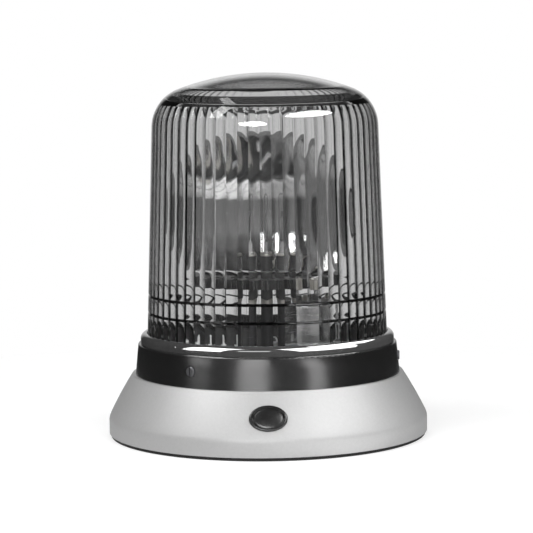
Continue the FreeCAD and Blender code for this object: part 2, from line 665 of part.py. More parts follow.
# ================================================================ lamp column and lamp
def lamp_column():
    """Fixed hollow post: flange on the plate, thrust shoulder and journal for the rotor, clip groove."""
    groove_z = HUB_TOP + CLIP_GAP
    points = [(COLUMN_BORE_R, PLATE_TOP), (COLUMN_FLANGE_R, PLATE_TOP),
              (COLUMN_FLANGE_R, PLATE_TOP + COLUMN_FLANGE_T), (COLUMN_R, PLATE_TOP + COLUMN_FLANGE_T),
              (COLUMN_R, THRUST_Z), (JOURNAL_R, THRUST_Z), (JOURNAL_R, groove_z),
              (JOURNAL_R - CLIP_GROOVE, groove_z), (JOURNAL_R - CLIP_GROOVE, groove_z + CLIP_T),
              (JOURNAL_R, groove_z + CLIP_T), (JOURNAL_R, COLUMN_TOP_Z), (COLUMN_BORE_R, COLUMN_TOP_Z)]
    post = turned_points(points)
    for angle in spread(FLANGE_SCREW_COUNT, FLANGE_SCREW_START_DEG):
        post = post.cut(rod(FLANGE_SCREW_R + SCREW_GAP, PLATE_Z, THRUST_Z, polar(FLANGE_SCREW_PCR, angle)[:2]))
    return post


def column_screws():
    """Screws that hold the post's flange on the plate."""
    one = screw(FLANGE_SCREW_R, FLANGE_SCREW_DEPTH)
    return group([moved(one, *polar(FLANGE_SCREW_PCR, angle, PLATE_TOP + COLUMN_FLANGE_T))
                  for angle in spread(FLANGE_SCREW_COUNT, FLANGE_SCREW_START_DEG)])


def thrust_washer():
    """Washer on the post's shoulder that the rotor turns on."""
    return tube(JOURNAL_R + RUNNING_GAP, WASHER_R, THRUST_Z, HUB_Z)


def retaining_clip():
    """Open spring ring in the post's groove above the rotor's hub."""
    low = HUB_TOP + CLIP_GAP
    ring = tube(JOURNAL_R - CLIP_GROOVE + RUNNING_GAP, CLIP_R, low, low + CLIP_T)
    return ring.cut(block(0, CLIP_R * 2, -CLIP_T * 2, CLIP_T * 2, low - CUT_OVER, low + CLIP_T + CUT_OVER))


def lamp_holder():
    """Insulating holder capped over the top of the post, bored for the lamp's contact."""
    low, high = COLUMN_TOP_Z - HOLDER_OVER, LAMP_SEAT_Z + CUT_OVER
    body = rod(HOLDER_R, low, LAMP_SEAT_Z)
    body = body.cut(rod(JOURNAL_R + NEST_GAP, low - CUT_OVER, COLUMN_TOP_Z))
    body = body.cut(rod(LAMP_PIN_R + SCREW_GAP, low, high))
    for angle in spread(HOLDER_GROOVE_COUNT, 0):
        at = polar(HOLDER_R + HOLDER_GROOVE_OUT, angle)[:2]
        body = body.cut(rod(HOLDER_GROOVE_R, low - CUT_OVER, high, at))
    return body


def lamp_seat():
    """Metal seat plate of the lamp on the holder, with two hinge lugs and two catches for the spring clip."""
    plate = tube(LAMP_PIN_R + SEAT_HOLE_GAP, LAMP_SEAT_R, LAMP_SEAT_Z, LAMP_Z)
    root = LAMP_SEAT_Z + LAMP_SEAT_T / 2
    for side in (1, -1):
        x = side * (CLIP_HALF - CLIP_WIRE_R - CURVED_GAP - LUG_T / 2)
        lug = block(x - LUG_T / 2, x + LUG_T / 2, CLIP_Y - LUG_L / 2, CLIP_Y + LUG_L / 2, root, CLIP_Z + LUG_T)
        x = side * (CLIP_HALF + CLIP_WIRE_R + CURVED_GAP + CATCH_T / 2)
        catch = block(x - CATCH_T / 2, x + CATCH_T / 2, -CLIP_Y, -CLIP_Y + LUG_L, root, CLIP_Z + CLIP_WIRE_R)
        plate = plate.fuse([lug, catch])
    pin_hole = Part.makeCylinder(CLIP_WIRE_R + RUNNING_GAP, 2 * LAMP_SEAT_R, Vector(-LAMP_SEAT_R, CLIP_Y, CLIP_Z),
                                 Vector(1, 0, 0))
    return whole(plate.cut(pin_hole))


def lamp_cap():
    """Lamp's metal flange and neck, with the contact pin below."""
    neck = tube(LAMP_GLASS_R + NEST_GAP, LAMP_CAP_R + NEST_GAP, LAMP_Z + LAMP_FLANGE_T,
                LAMP_Z + LAMP_FLANGE_T + LAMP_CAP_H)
    cap = rod(LAMP_FLANGE_R, LAMP_Z, LAMP_Z + LAMP_FLANGE_T).fuse(neck)
    return whole(cap.fuse(rod(LAMP_PIN_R, LAMP_Z - LAMP_PIN_LEN, LAMP_Z)))


def glass_base_z():
    """Height where the lamp's glass stands on its cap."""
    return LAMP_Z + LAMP_FLANGE_T


def lamp_glass():
    """Lamp's tubular glass with a round top, closed below."""
    low = glass_base_z()
    inner = LAMP_GLASS_R - LAMP_GLASS_WALL
    outer = rod(LAMP_GLASS_R, low, low + LAMP_GLASS_H).fuse(
        Part.makeSphere(LAMP_GLASS_R, Vector(0, 0, low + LAMP_GLASS_H)))
    hollow = rod(inner, low + LAMP_CAP_H, low + LAMP_GLASS_H).fuse(
        Part.makeSphere(inner, Vector(0, 0, low + LAMP_GLASS_H)))
    return whole(outer.cut(rod(LAMP_GLASS_R * 2, low - LAMP_GLASS_R, low)).cut(hollow))


def lamp_filament():
    """Filament at the dish's focus on two lead wires that stand in the glass."""
    foot = glass_base_z() + LAMP_CAP_H
    low, high = FOCUS_Z - FILAMENT_LEN / 2, FOCUS_Z + FILAMENT_LEN / 2
    coil = rod(FILAMENT_R, low, high)
    short = rod(LEAD_WIRE_R, foot, low + JOIN, (FILAMENT_R / 2, 0))
    reach = FILAMENT_R + 4 * LEAD_WIRE_R
    long = rod(LEAD_WIRE_R, foot, high, (-reach, 0))
    bridge = Part.makeCylinder(LEAD_WIRE_R, reach, Vector(-reach, 0, high), Vector(1, 0, 0))
    return whole(coil.fuse([short, long, bridge]))


def lamp_clip():
    """Spring wire stirrup over the lamp's flange; it swings up about its bar in the seat's two lugs."""
    corners = [Vector(-CLIP_HALF, -CLIP_Y, CLIP_Z), Vector(-CLIP_HALF, CLIP_Y, CLIP_Z),
               Vector(CLIP_HALF, CLIP_Y, CLIP_Z), Vector(CLIP_HALF, -CLIP_Y, CLIP_Z)]
    wire = None
    for p, q in zip(corners, corners[1:]):
        leg = Part.makeCylinder(CLIP_WIRE_R, (q - p).Length, p, q - p)
        wire = leg.fuse(Part.makeSphere(CLIP_WIRE_R, p)) if wire is None else wire.fuse(
            [leg, Part.makeSphere(CLIP_WIRE_R, p)])
    return whole(wire.fuse(Part.makeSphere(CLIP_WIRE_R, corners[-1])))


# ================================================================ rotor
def involute(alpha):
    """Involute function of a pressure angle in radians."""
    return math.tan(alpha) - alpha


def gear_wire(teeth, centre, start, z):
    """Closed outline of a spur gear with a tooth centred on the start angle (degrees)."""
    pressure = math.radians(PRESSURE_DEG)
    pitch = MODULE * teeth / 2
    base = pitch * math.cos(pressure)
    tip, root = pitch + ADDENDUM_RATIO * MODULE, pitch - DEDENDUM_RATIO * MODULE
    half = math.pi / (2 * teeth) - BACKLASH / (4 * pitch) + involute(pressure)
    low = max(base, root)
    radii = [low + (tip - low) * share for share in (0.0, 0.3, 0.65, 1.0)]
    flank = [(root, half)] if root < base else []
    flank += [(r, half - involute(math.acos(min(1.0, base / r)))) for r in radii]
    points = []
    for tooth in range(teeth):
        middle = math.radians(start) + 2 * math.pi * tooth / teeth
        side = [(r, middle - a) for r, a in flank] + [(r, middle + a) for r, a in flank[::-1]]
        points += [Vector(centre[0] + r * math.cos(a), centre[1] + r * math.sin(a), z) for r, a in side]
    return Part.makePolygon(points + points[:1])


def gear_blank(teeth, centre, start, low, face):
    """Toothed disc."""
    return Part.Face(gear_wire(teeth, centre, start, low)).extrude(Vector(0, 0, face))


def rotor_gear():
    """Toothed wheel that carries the reflector: rim, thin web with round openings, and a long hub."""
    wheel = gear_blank(GEAR_TOOTH_COUNT, (0, 0), MOTOR_DEG, GEAR_Z, GEAR_FACE)
    low, high = GEAR_Z - CUT_OVER, WEB_TOP + CUT_OVER
    wheel = wheel.cut(rod(GEAR_ROOT_R - RIM_W, WEB_TOP, GEAR_TOP + CUT_OVER))
    wheel = wheel.fuse(rod(HUB_R, HUB_Z, HUB_TOP))
    for angle in WEB_HOLE_DEGS:
        wheel = wheel.cut(rod(WEB_HOLE_R, low, high, polar(WEB_HOLE_PCR, angle + REST_TURN_DEG)[:2]))
    for at in bracket_screw_places():
        wheel = wheel.cut(rotated(rod(ROTOR_SCREW_R + SCREW_GAP, low, high, at), REST_TURN_DEG))
    return whole(wheel.cut(rod(BUSH_R + RUNNING_GAP, HUB_Z - CUT_OVER, HUB_TOP + CUT_OVER)))


def rotor_bush():
    """Bearing bush in the wheel's hub, running on the post."""
    return tube(JOURNAL_R + RUNNING_GAP, BUSH_R, HUB_Z, HUB_TOP)


def dish_curve(gap):
    """Parabola points (radius, distance ahead of the vertex) pushed back along the normal by a gap."""
    points = []
    for step in range(DISH_SPAN_COUNT + 1):
        radius = DISH_R * step / DISH_SPAN_COUNT
        slope = radius / (2 * FOCAL)
        size = math.hypot(1, slope)
        points.append((radius + gap * slope / size, radius ** 2 / (4 * FOCAL) - gap / size))
    return points


def dish_shell():
    """Parabolic shell turned about its own axis, which is then laid to look along -Y."""
    front, back = dish_curve(0), dish_curve(DISH_T)
    rim, heel = front[-1], back[-1]
    lip = rim[0] + DISH_T + DISH_LIP_W
    curve_front, curve_back = Part.BSplineCurve(), Part.BSplineCurve()
    curve_front.interpolate([Vector(r, 0, d) for r, d in front])
    curve_back.interpolate([Vector(r, 0, d) for r, d in back])
    edges = [curve_front.toShape()]
    edges += chain([rim, (lip, rim[1]), (lip, rim[1] - DISH_LIP_T), heel])
    edges += [curve_back.toShape(), line(back[0], front[0])]
    shell = turned(edges)
    shell.rotate(Vector(0, 0, 0), Vector(1, 0, 0), 90)
    shell.translate(Vector(0, FOCAL, FOCUS_Z))
    return shell


def dish_boss_heights():
    """Heights of the two bosses on the back of the dish."""
    return [FOCUS_Z + side * BOSS_SPREAD for side in (1, -1)]


def reflector():
    """Parabolic dish cut flat below and notched round the lamp holder, with two bosses at its back."""
    solid = dish_shell()
    bowl_depth = BOSS_SPREAD ** 2 / (4 * FOCAL)
    for z in dish_boss_heights():
        face_y = FOCAL - bowl_depth + DISH_T / 2
        solid = solid.fuse(Part.makeCylinder(BOSS_R, BRACKET_Y - face_y, Vector(0, face_y, z), Vector(0, 1, 0)))
    solid = solid.cut(block(-BASE_R, BASE_R, -BASE_R, BASE_R, 0, DISH_CUT_Z))
    solid = solid.cut(rod(DISH_NOTCH_R, 0, FOCUS_Z))
    for z in dish_boss_heights():
        depth = BRACKET_Y - (FOCAL - bowl_depth + DISH_T)
        solid = solid.cut(Part.makeCylinder(ROTOR_SCREW_R + SCREW_GAP, depth, Vector(0, BRACKET_Y - depth, z),
                                            Vector(0, 1, 0)))
    return rotated(whole(solid), REST_TURN_DEG)


def bracket_screw_places():
    """Plan positions of the screws through the bracket's foot, before the rotor is turned to rest."""
    y = (BRACKET_FOOT_Y + BRACKET_Y + BRACKET_T) / 2
    return [(side * BRACKET_W / 4, y) for side in (1, -1)]


def reflector_bracket():
    """Folded sheet bracket: foot on the wheel's web, upright behind the dish, two side flanges."""
    half = BRACKET_W / 2
    back = BRACKET_Y + BRACKET_T
    top = FOCUS_Z + BRACKET_TOP
    upright = block(-half, half, BRACKET_Y, back, WEB_TOP, top)
    foot = block(-half, half, BRACKET_FOOT_Y, back, WEB_TOP, WEB_TOP + BRACKET_T)
    flange_low = GEAR_TOP + CURVED_GAP
    sheet = upright.fuse(foot)
    for side in (1, -1):
        edge = side * (half - BRACKET_T / 2)
        flange = block(edge - BRACKET_T / 2, edge + BRACKET_T / 2, BRACKET_Y, back + BRACKET_FLANGE, flange_low, top)
        sheet = sheet.fuse(flange)
    for z in dish_boss_heights():
        sheet = sheet.cut(Part.makeCylinder(ROTOR_SCREW_R + SCREW_GAP, BRACKET_T * 3,
                                            Vector(0, BRACKET_Y - BRACKET_T, z), Vector(0, 1, 0)))
    for at in bracket_screw_places():
        sheet = sheet.cut(rod(ROTOR_SCREW_R + SCREW_GAP, WEB_TOP - CUT_OVER, WEB_TOP + BRACKET_T + CUT_OVER, at))
    return rotated(whole(sheet), REST_TURN_DEG)


def rotor_screw():
    """Small screw used on the rotor, head up."""
    return screw(ROTOR_SCREW_R, ROTOR_SCREW_DEPTH + BRACKET_T, ROTOR_SCREW_HEAD_R, ROTOR_SCREW_HEAD_T)


def bracket_screws():
    """Screws through the bracket's foot into the wheel's web."""
    placed = [moved(rotor_screw(), x, y, WEB_TOP + BRACKET_T) for x, y in bracket_screw_places()]
    return group([rotated(one, REST_TURN_DEG) for one in placed])


def reflector_screws():
    """Screws through the bracket into the dish's bosses, from behind."""
    one = rotated(rotor_screw(), -90, Vector(1, 0, 0))
    placed = [moved(one, 0, BRACKET_Y + BRACKET_T, z) for z in dish_boss_heights()]
    return group([rotated(each, REST_TURN_DEG) for each in placed])


# ================================================================ motor
def motor_body():
    """Closed motor can with a rolled upper edge."""
    can = rod(MOTOR_R, MOTOR_FLOOR, MOTOR_TOP, motor_centre())
    can = can.makeFillet(MOTOR_ROUND_R, [e for e in can.Edges if e.CenterOfMass.z > MOTOR_TOP - PICK])
    return can.cut(rod(SHAFT_R + RUNNING_GAP, MOTOR_TOP - SHAFT_IN_MOTOR, MOTOR_TOP + CUT_OVER, motor_centre()))


def motor_cap():
    """Moulded end cap with the bearing nose."""
    at = motor_centre()
    cap = rod(MOTOR_CAP_R, MOTOR_TOP, MOTOR_TOP + MOTOR_CAP_T, at)
    cap = whole(cap.fuse(rod(MOTOR_NOSE_R, MOTOR_TOP, NOSE_TOP, at)))
    cap = cap.cut(rod(SHAFT_R + RUNNING_GAP, MOTOR_TOP - CUT_OVER, NOSE_TOP + CUT_OVER, at))
    for tag in motor_tag_boxes(NEST_GAP):
        cap = cap.cut(tag)
    return cap


def motor_tag_boxes(grow):
    """The two flat connection tags, or their slots when grown."""
    x, y = motor_centre()
    tags = []
    for side in (1, -1):
        tag = block(-TAG_W / 2 - grow, TAG_W / 2 + grow, side * TAG_SPREAD - TAG_T / 2 - grow,
                    side * TAG_SPREAD + TAG_T / 2 + grow, MOTOR_TOP - grow, MOTOR_TOP + TAG_H + grow)
        tags.append(moved(rotated(tag, MOTOR_DEG), x, y))
    return tags


def motor_tags():
    """Connection tags that stand up through the end cap."""
    return group(motor_tag_boxes(0))


def motor_sleeve():
    """Rubber sleeve with a floor that quietens the motor in its cup."""
    at = motor_centre()
    low = PLATE_TOP + CUP_WALL
    sleeve = rod(MOTOR_R + NEST_GAP + SLEEVE_T, low, PLATE_TOP + CUP_H, at)
    return sleeve.cut(rod(MOTOR_R + NEST_GAP, MOTOR_FLOOR, PLATE_TOP + CUP_H + CUT_OVER, at))


def motor_cup():
    """Drawn cup that holds the motor upright on the plate by two ears."""
    at = motor_centre()
    inner = MOTOR_R + SLEEVE_T + 2 * NEST_GAP
    cup = rod(inner + CUP_WALL, PLATE_TOP, PLATE_TOP + CUP_H, at)
    for place in ear_centres():
        cup = cup.fuse(rod(EAR_R, PLATE_TOP, PLATE_TOP + EAR_T, place))
    strap = block(-EAR_R, EAR_R, -EAR_REACH, EAR_REACH, PLATE_TOP, PLATE_TOP + EAR_T)
    cup = cup.fuse(moved(rotated(strap, MOTOR_DEG), *at))
    cup = cup.cut(rod(inner, PLATE_TOP + CUP_WALL, PLATE_TOP + CUP_H + CUT_OVER, at))
    for place in ear_centres():
        cup = cup.cut(rod(EAR_SCREW_R + SCREW_GAP, PLATE_TOP - CUT_OVER, PLATE_TOP + EAR_T + CUT_OVER, place))
    return whole(cup)


def motor_screws():
    """Screws through the cup's ears into the plate."""
    return group([moved(screw(EAR_SCREW_R, EAR_SCREW_DEPTH), x, y, PLATE_TOP + EAR_T)
                  for x, y in ear_centres()])


def motor_shaft():
    """Motor's output shaft."""
    return rod(SHAFT_R, MOTOR_TOP - SHAFT_IN_MOTOR + SHAFT_END_GAP, SHAFT_TOP_Z, motor_centre())


def pinion():
    """Small gear pressed on the shaft, in mesh with the rotor's wheel at rest."""
    at = motor_centre()
    start = MOTOR_DEG + 180 - 180 / PINION_TOOTH_COUNT
    low = GEAR_Z - PINION_GAP
    gear = gear_blank(PINION_TOOTH_COUNT, at, start, low, GEAR_FACE + 2 * PINION_GAP)
    return gear.cut(rod(SHAFT_R + RUNNING_GAP / 2, low - CUT_OVER, SHAFT_TOP_Z + CUT_OVER, at))


# ================================================================ terminal block and suppressor
def pole_places():
    """Plan positions of the terminal block's poles."""
    x, y = BLOCK_POS
    pitch = BLOCK_L / BLOCK_POLE_COUNT
    return [(x, y + pitch * (k - (BLOCK_POLE_COUNT - 1) / 2)) for k in range(BLOCK_POLE_COUNT)]


def clamp_screw_foot():
    """Height of the clamp screws' lower ends."""
    return PLATE_TOP + BLOCK_H - BLOCK_FLOOR - BLOCK_SCREW_H


def terminal_block():
    """Insulating block with a raised barrel over each pole and a wire hole at both sides of it."""
    x, y = BLOCK_POS
    half_w, half_l = BLOCK_W / 2, BLOCK_L / 2
    top = PLATE_TOP + BLOCK_H
    body = block(x - half_w, x + half_w, y - half_l, y + half_l, PLATE_TOP, top - BLOCK_STEP)
    for px, py in pole_places():
        body = body.fuse(rod(BARREL_R, PLATE_TOP + BLOCK_FLOOR, top, (px, py)))
    for px, py in pole_places():
        body = body.cut(rod(BLOCK_SCREW_R + NEST_GAP, clamp_screw_foot(), top + CUT_OVER, (px, py)))
        for side in (1, -1):
            mouth = Vector(px + side * half_w, py, PLATE_TOP + WIRE_HOLE_Z)
            body = body.cut(Part.makeCylinder(WIRE_HOLE_R, WIRE_HOLE_DEPTH, mouth, Vector(-side, 0, 0)))
    return whole(body)


def terminal_screws():
    """Slotted clamp screws in the terminal block's barrels."""
    shapes = []
    for px, py in pole_places():
        low, high = clamp_screw_foot(), clamp_screw_foot() + BLOCK_SCREW_H
        one = rod(BLOCK_SCREW_R, low, high, (px, py))
        slot = block(px - BLOCK_SCREW_R, px + BLOCK_SCREW_R, py - DRIVE_W / 2, py + DRIVE_W / 2,
                     high - DRIVE_DEPTH, high + CUT_OVER)
        shapes.append(one.cut(slot))
    return group(shapes)


def suppressor():
    """Round interference suppressor standing on a small foot on the plate."""
    at = polar(CHASSIS_R - SUPPRESSOR_INSET, SUPPRESSOR_DEG)[:2]
    foot = rod(SUPPRESSOR_R + SUPPRESSOR_FOOT, PLATE_TOP, PLATE_TOP + SUPPRESSOR_FOOT, at)
    can = rod(SUPPRESSOR_R, PLATE_TOP, PLATE_TOP + SUPPRESSOR_H, at)
    top = [e for e in can.Edges if e.CenterOfMass.z > PLATE_TOP + SUPPRESSOR_H - PICK]
    can = can.makeFillet(SUPPRESSOR_ROUND_R, top)
    return whole(can.fuse(foot))


# ================================================================ nodes
NODES = [
    base_housing, base_gasket, badge_plug, cable_grommet, dome_seal,
    dome_lens, lens_ring, clamp_band, ring_screws,
    chassis_plate, chassis_screws, lamp_column, column_screws, thrust_washer, retaining_clip,
    lamp_holder, lamp_seat, lamp_cap, lamp_glass, lamp_filament, lamp_clip,
    rotor_gear, rotor_bush, reflector, reflector_bracket, bracket_screws, reflector_screws,
    motor_body, motor_cap, motor_tags, motor_sleeve, motor_cup, motor_screws, motor_shaft, pinion,
    terminal_block, terminal_screws, suppressor,
]

os.makedirs("parts", exist_ok=True)
for build in NODES:
    build().exportStep(f"parts/{build.__name__}.step")
    print(build.__name__)
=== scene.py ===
# %% [markdown]
# # A rotating beacon
# A clear lens stands on a flared cast base, and inside it a small motor turns a parabolic dish
# about a fixed lamp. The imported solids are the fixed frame: each piece below either gives one
# solid its finish or stands for it with a finer surface. All places are metres in that frame.

import json
import math

import bmesh
import bpy
import numpy as np
from mathutils import Matrix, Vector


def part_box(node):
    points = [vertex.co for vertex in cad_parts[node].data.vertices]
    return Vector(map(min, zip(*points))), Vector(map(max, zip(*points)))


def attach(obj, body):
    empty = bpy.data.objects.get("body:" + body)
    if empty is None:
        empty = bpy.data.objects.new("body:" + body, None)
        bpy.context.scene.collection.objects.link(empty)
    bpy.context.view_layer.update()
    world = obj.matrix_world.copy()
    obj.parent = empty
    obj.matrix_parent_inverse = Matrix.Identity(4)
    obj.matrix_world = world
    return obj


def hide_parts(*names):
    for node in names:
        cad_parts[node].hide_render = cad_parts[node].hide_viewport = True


MM = 0.001
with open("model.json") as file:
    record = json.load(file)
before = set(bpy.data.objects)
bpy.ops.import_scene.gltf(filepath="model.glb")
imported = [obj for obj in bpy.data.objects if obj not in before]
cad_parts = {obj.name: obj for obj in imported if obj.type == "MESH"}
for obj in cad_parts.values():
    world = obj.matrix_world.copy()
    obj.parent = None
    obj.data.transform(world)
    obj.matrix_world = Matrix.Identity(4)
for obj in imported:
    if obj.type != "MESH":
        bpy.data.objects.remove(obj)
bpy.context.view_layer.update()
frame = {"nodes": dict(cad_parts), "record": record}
record = frame["record"]
body_of = {node: body for body, nodes in record["behaviour"]["bodies"].items() for node in nodes}

# %% [markdown]
# ## Writing a finish as sums
# A procedural finish is mostly arithmetic on positions. Wiring that by hand hides the formula,
# so a small class wraps one output socket and lets Python's own operators add the Math nodes.

# %% A socket that can be used in sums
class Signal:
    """One output of a finish's node tree; sums and comparisons on it add Math nodes."""

    def __init__(self, finish, socket):
        self.finish, self.socket = finish, socket

    def maths(self, operation, *values):
        return self.finish.node("Math", {"operation": operation}, values)

    def __add__(self, other):
        return self.maths("ADD", self, other)

    def __sub__(self, other):
        return self.maths("SUBTRACT", self, other)

    def __rsub__(self, other):
        return self.maths("SUBTRACT", other, self)

    def __mul__(self, other):
        return self.maths("MULTIPLY", self, other)

    def __truediv__(self, other):
        return self.maths("DIVIDE", self, other)

    def __pow__(self, other):
        return self.maths("POWER", self, other)

    def __lt__(self, other):
        return self.maths("LESS_THAN", self, other)

    def __gt__(self, other):
        return self.maths("GREATER_THAN", self, other)

    __radd__, __rmul__ = __add__, __mul__


print("sums on sockets are ready")

# %% [markdown]
# ## One material under construction
# Any node comes from one method, so a finish reads from top to bottom: what varies over the
# surface first, then the shader that uses it. Patterns read the object's own coordinates, which
# are metres here, so a grain of half a millimetre is written as exactly that.

# %% A finish: a node tree with a few named helpers
def grey(level):
    """A colour with one level in its three channels; a colour of three channels stays itself."""
    return (level, level, level, 1.0) if isinstance(level, (int, float)) else (*level, 1.0)


class Finish:
    """Node tree of a new material, or of the world; place is the point of the piece in metres."""

    def __init__(self, name, world=None):
        self.owner = world or bpy.data.materials.new(name)
        self.owner.use_nodes = True
        self.tree = self.owner.node_tree
        self.tree.nodes.clear()
        self.place = self.node("TexCoord", output="Generated" if world else "Object")

    def node(self, kind, settings=None, inputs=(), output=0):
        """Any shader node: its type, then its settings, then the values or links of its sockets."""
        made = self.tree.nodes.new("ShaderNode" + kind)
        for key, value in (settings or {}).items():
            setattr(made, key, value)
        pairs = inputs.items() if isinstance(inputs, dict) else enumerate(inputs)
        for key, value in pairs:
            if isinstance(value, Signal):
                self.tree.links.new(value.socket, made.inputs[key])
            else:
                made.inputs[key].default_value = value
        return Signal(self, made.outputs[output]) if len(made.outputs) else None

    def axes(self):
        """The three coordinates of the place, as separate numbers."""
        return [self.node("SeparateXYZ", inputs=[self.place], output=axis) for axis in "XYZ"]

    def radius(self):
        """Distance of the place from the beacon's axis: the root of x squared plus y squared."""
        x, y, z = self.axes()
        return (x * x + y * y) ** 0.5

    def grain(self, size, detail=2.0, stretch=(1, 1, 1)):
        """Noise from 0 to 1 with features of one size; a small stretch draws streaks along that axis."""
        drawn = self.node("VectorMath", {"operation": "MULTIPLY"}, [self.place, stretch])
        return self.node("TexNoise", inputs={"Vector": drawn, "Scale": 1 / size, "Detail": detail})

    def ramp(self, value, low, high):
        """A value taken from 0 at low to 1 at high, and held outside."""
        ends = {"Value": value, "From Min": low, "From Max": high}
        return self.node("MapRange", {"clamp": True}, ends)

    def blend(self, first, second, share):
        """Colour mixed from the first to the second by a share; a number stands for a grey."""
        ends = [c if isinstance(c, Signal) else grey(c) for c in (first, second)]
        inputs = {0: share, 6: ends[0], 7: ends[1]}
        return self.node("Mix", {"data_type": "RGBA"}, inputs, output=2)

    def relief(self, height, depth):
        """Normal of a surface whose height goes from 0 to 1 over a depth in metres."""
        return self.node("Bump", inputs={"Height": height, "Distance": depth})

    def surface(self, **sockets):
        """Principled shader; a socket's name is written with _ for each space."""
        named = {key.replace("_", " "): value for key, value in sockets.items()}
        return self.node("BsdfPrincipled", inputs=named)

    def done(self, shader):
        """Puts a shader on the surface and returns the material."""
        self.node("OutputMaterial", inputs={"Surface": shader})
        return self.owner


print("finishes are ready")

# %% [markdown]
# ## The base's paint
# The casting wears a satin grey enamel: an even coat with a fine grain from the sand of the
# mould and a slow cloudiness. Inside the upstand, above the deck, the well lies in shade, and
# that shade is painted into the colour as near-black; it is why the foot of the lens looks dark.
# A second mesh could carry the dark part, but one mask on the radius and the height tells the enamel and
# the painted shade apart on the same mesh.

# %% Satin enamel with painted shade inside the well
UPSTAND_R = 77.3 * MM       # inside this radius, above the deck, the colour is painted shade of the well
DECK_Z = 39.0 * MM
CLOUD, MOTTLE, SAND = 35 * MM, 1.5 * MM, 0.55 * MM     # sizes of the coat's three patterns


def satin_enamel():
    """Grey enamel; the share of painted shade is 1 where the radius is small and the place above the
    deck.
    """
    paint = Finish("satin_enamel")
    height = paint.axes()[2]
    clouds, mottle, sand = paint.grain(CLOUD, 3), paint.grain(MOTTLE, 2), paint.grain(SAND, 3)
    inside = (paint.radius() < UPSTAND_R) * (height > DECK_Z - 0.5 * MM)
    enamel = paint.blend(paint.blend(0.40, 0.46, clouds), 0.68, sand * 0.18 + mottle * 0.22)
    # painted shade: the well inside the upstand is coloured near-black where it lies in shade
    painted_well_shade = paint.blend(0.025, 0.05, sand)
    colour = paint.blend(enamel, painted_well_shade, inside)
    rough = 0.40 + 0.16 * sand + 0.2 * inside
    return paint.done(paint.surface(Base_Color=colour, Roughness=rough, Metallic=0.3,
                                    Normal=paint.relief(sand, 0.05 * MM)))


ENAMEL = satin_enamel()
print(ENAMEL.name)

# %% [markdown]
# ## Gloss black
# Ring, clamp band and plug are polished black moulding. A gloss surface is seen by what it
# mirrors, so its colour hardly matters: the body is nearly black, a strong specular level gives
# the bright reflections, and a very faint waviness keeps them from looking like computed mirrors.
# A clear coat on top would do the same with one layer more.

# %% Polished black moulding
INK_DARK, INK_LIGHT = 0.0064, 0.012
WAVE, DUST = 14 * MM, 3 * MM


def gloss_black(name, polish):
    """Near-black moulding; roughness is the polish plus a little fine noise."""
    moulding = Finish(name)
    waves, dust = moulding.grain(WAVE, 1), moulding.grain(DUST, 2)
    colour = moulding.blend(INK_DARK, INK_LIGHT, dust)
    return moulding.done(moulding.surface(Base_Color=colour, Roughness=polish + 0.05 * dust,
                                          Specular_IOR_Level=0.9,
                                          Normal=moulding.relief(waves, 0.10 * MM)))


RING_BLACK = gloss_black("ring_black", 0.05)
BAND_BLACK = gloss_black("band_black", 0.20)
PLUG_BLACK = gloss_black("plug_black", 0.22)
print(RING_BLACK.name, BAND_BLACK.name, PLUG_BLACK.name)

# %% [markdown]
# ## Rubber and mouldings
# The mat, the seal, the grommet and the motor's sleeve are rubber: dull, with a fine bloom. The
# lamp holder and the end cap of the motor are a harder black, the toothed wheel is a smoother
# one and the terminal block is white. One recipe serves them all, since they differ only in
# level, roughness and the size of their grain.

# %% Dull mouldings
PATCH = 14 * MM


def moulded(name, dark, light, rough, size, depth):
    """Colour between two levels by a fine grain, which also moves roughness and relief."""
    body = Finish(name)
    grain, patch = body.grain(size, 3), body.grain(PATCH, 2)
    colour = body.blend(body.blend(dark, light, grain), dark, patch * 0.4)
    return body.done(body.surface(Base_Color=colour, Roughness=rough + 0.15 * grain,
                                  Normal=body.relief(grain, depth)))


RUBBER = moulded("black_rubber", 0.010, 0.030, 0.62, 0.7 * MM, 0.04 * MM)
HARD_BLACK = moulded("hard_black", 0.012, 0.022, 0.34, 1.2 * MM, 0.02 * MM)
TERMINAL_WHITE = moulded("terminal_white", 0.62, 0.74, 0.38, 1.0 * MM, 0.02 * MM)
GEAR_BLACK = moulded("gear_black", 0.014, 0.030, 0.30, 1.6 * MM, 0.02 * MM)
print(RUBBER.name, HARD_BLACK.name, TERMINAL_WHITE.name, GEAR_BLACK.name)

# %% [markdown]
# ## Metals
# Turned and drawn metal shows the marks of its making: fine lines round the axis. They are noise
# stretched across Z, so they run round every upright part without needing an unwrapped mesh.
# Zinc plate adds a cloudy spangle; the chassis plate and the lamp post are blacked steel.

# %% Plated, turned and drawn metals
LINE, LINE_STRETCH = 0.35 * MM, (0.03, 0.03, 1)
SPANGLE = 6 * MM


def worked_metal(name, colour, rough, spangle):
    """Metal with lines round the upright axis and a spangle that darkens and roughens it in patches."""
    metal = Finish(name)
    lines, clouds = metal.grain(LINE, 2, LINE_STRETCH), metal.grain(SPANGLE, 2)
    dull = [c * (1 - spangle) for c in colour]
    shade = metal.blend(colour, dull, clouds)
    return metal.done(metal.surface(Base_Color=shade, Metallic=1.0,
                                    Roughness=rough + 0.12 * lines + spangle * 0.3 * clouds,
                                    Normal=metal.relief(lines, 0.02 * MM)))


ZINC = worked_metal("zinc_plate", (0.62, 0.63, 0.64), 0.30, 0.25)
STEEL = worked_metal("bright_steel", (0.72, 0.72, 0.72), 0.18, 0.08)
NICKEL = worked_metal("nickel_plate", (0.66, 0.64, 0.60), 0.22, 0.15)
DULL_STEEL = worked_metal("dull_steel", (0.22, 0.22, 0.23), 0.34, 0.20)
CAN = worked_metal("aluminium_can", (0.76, 0.77, 0.78), 0.26, 0.10)
BLACKED = worked_metal("blacked_steel", (0.045, 0.045, 0.048), 0.30, 0.30)
print(ZINC.name, STEEL.name, NICKEL.name, DULL_STEEL.name, CAN.name, BLACKED.name)

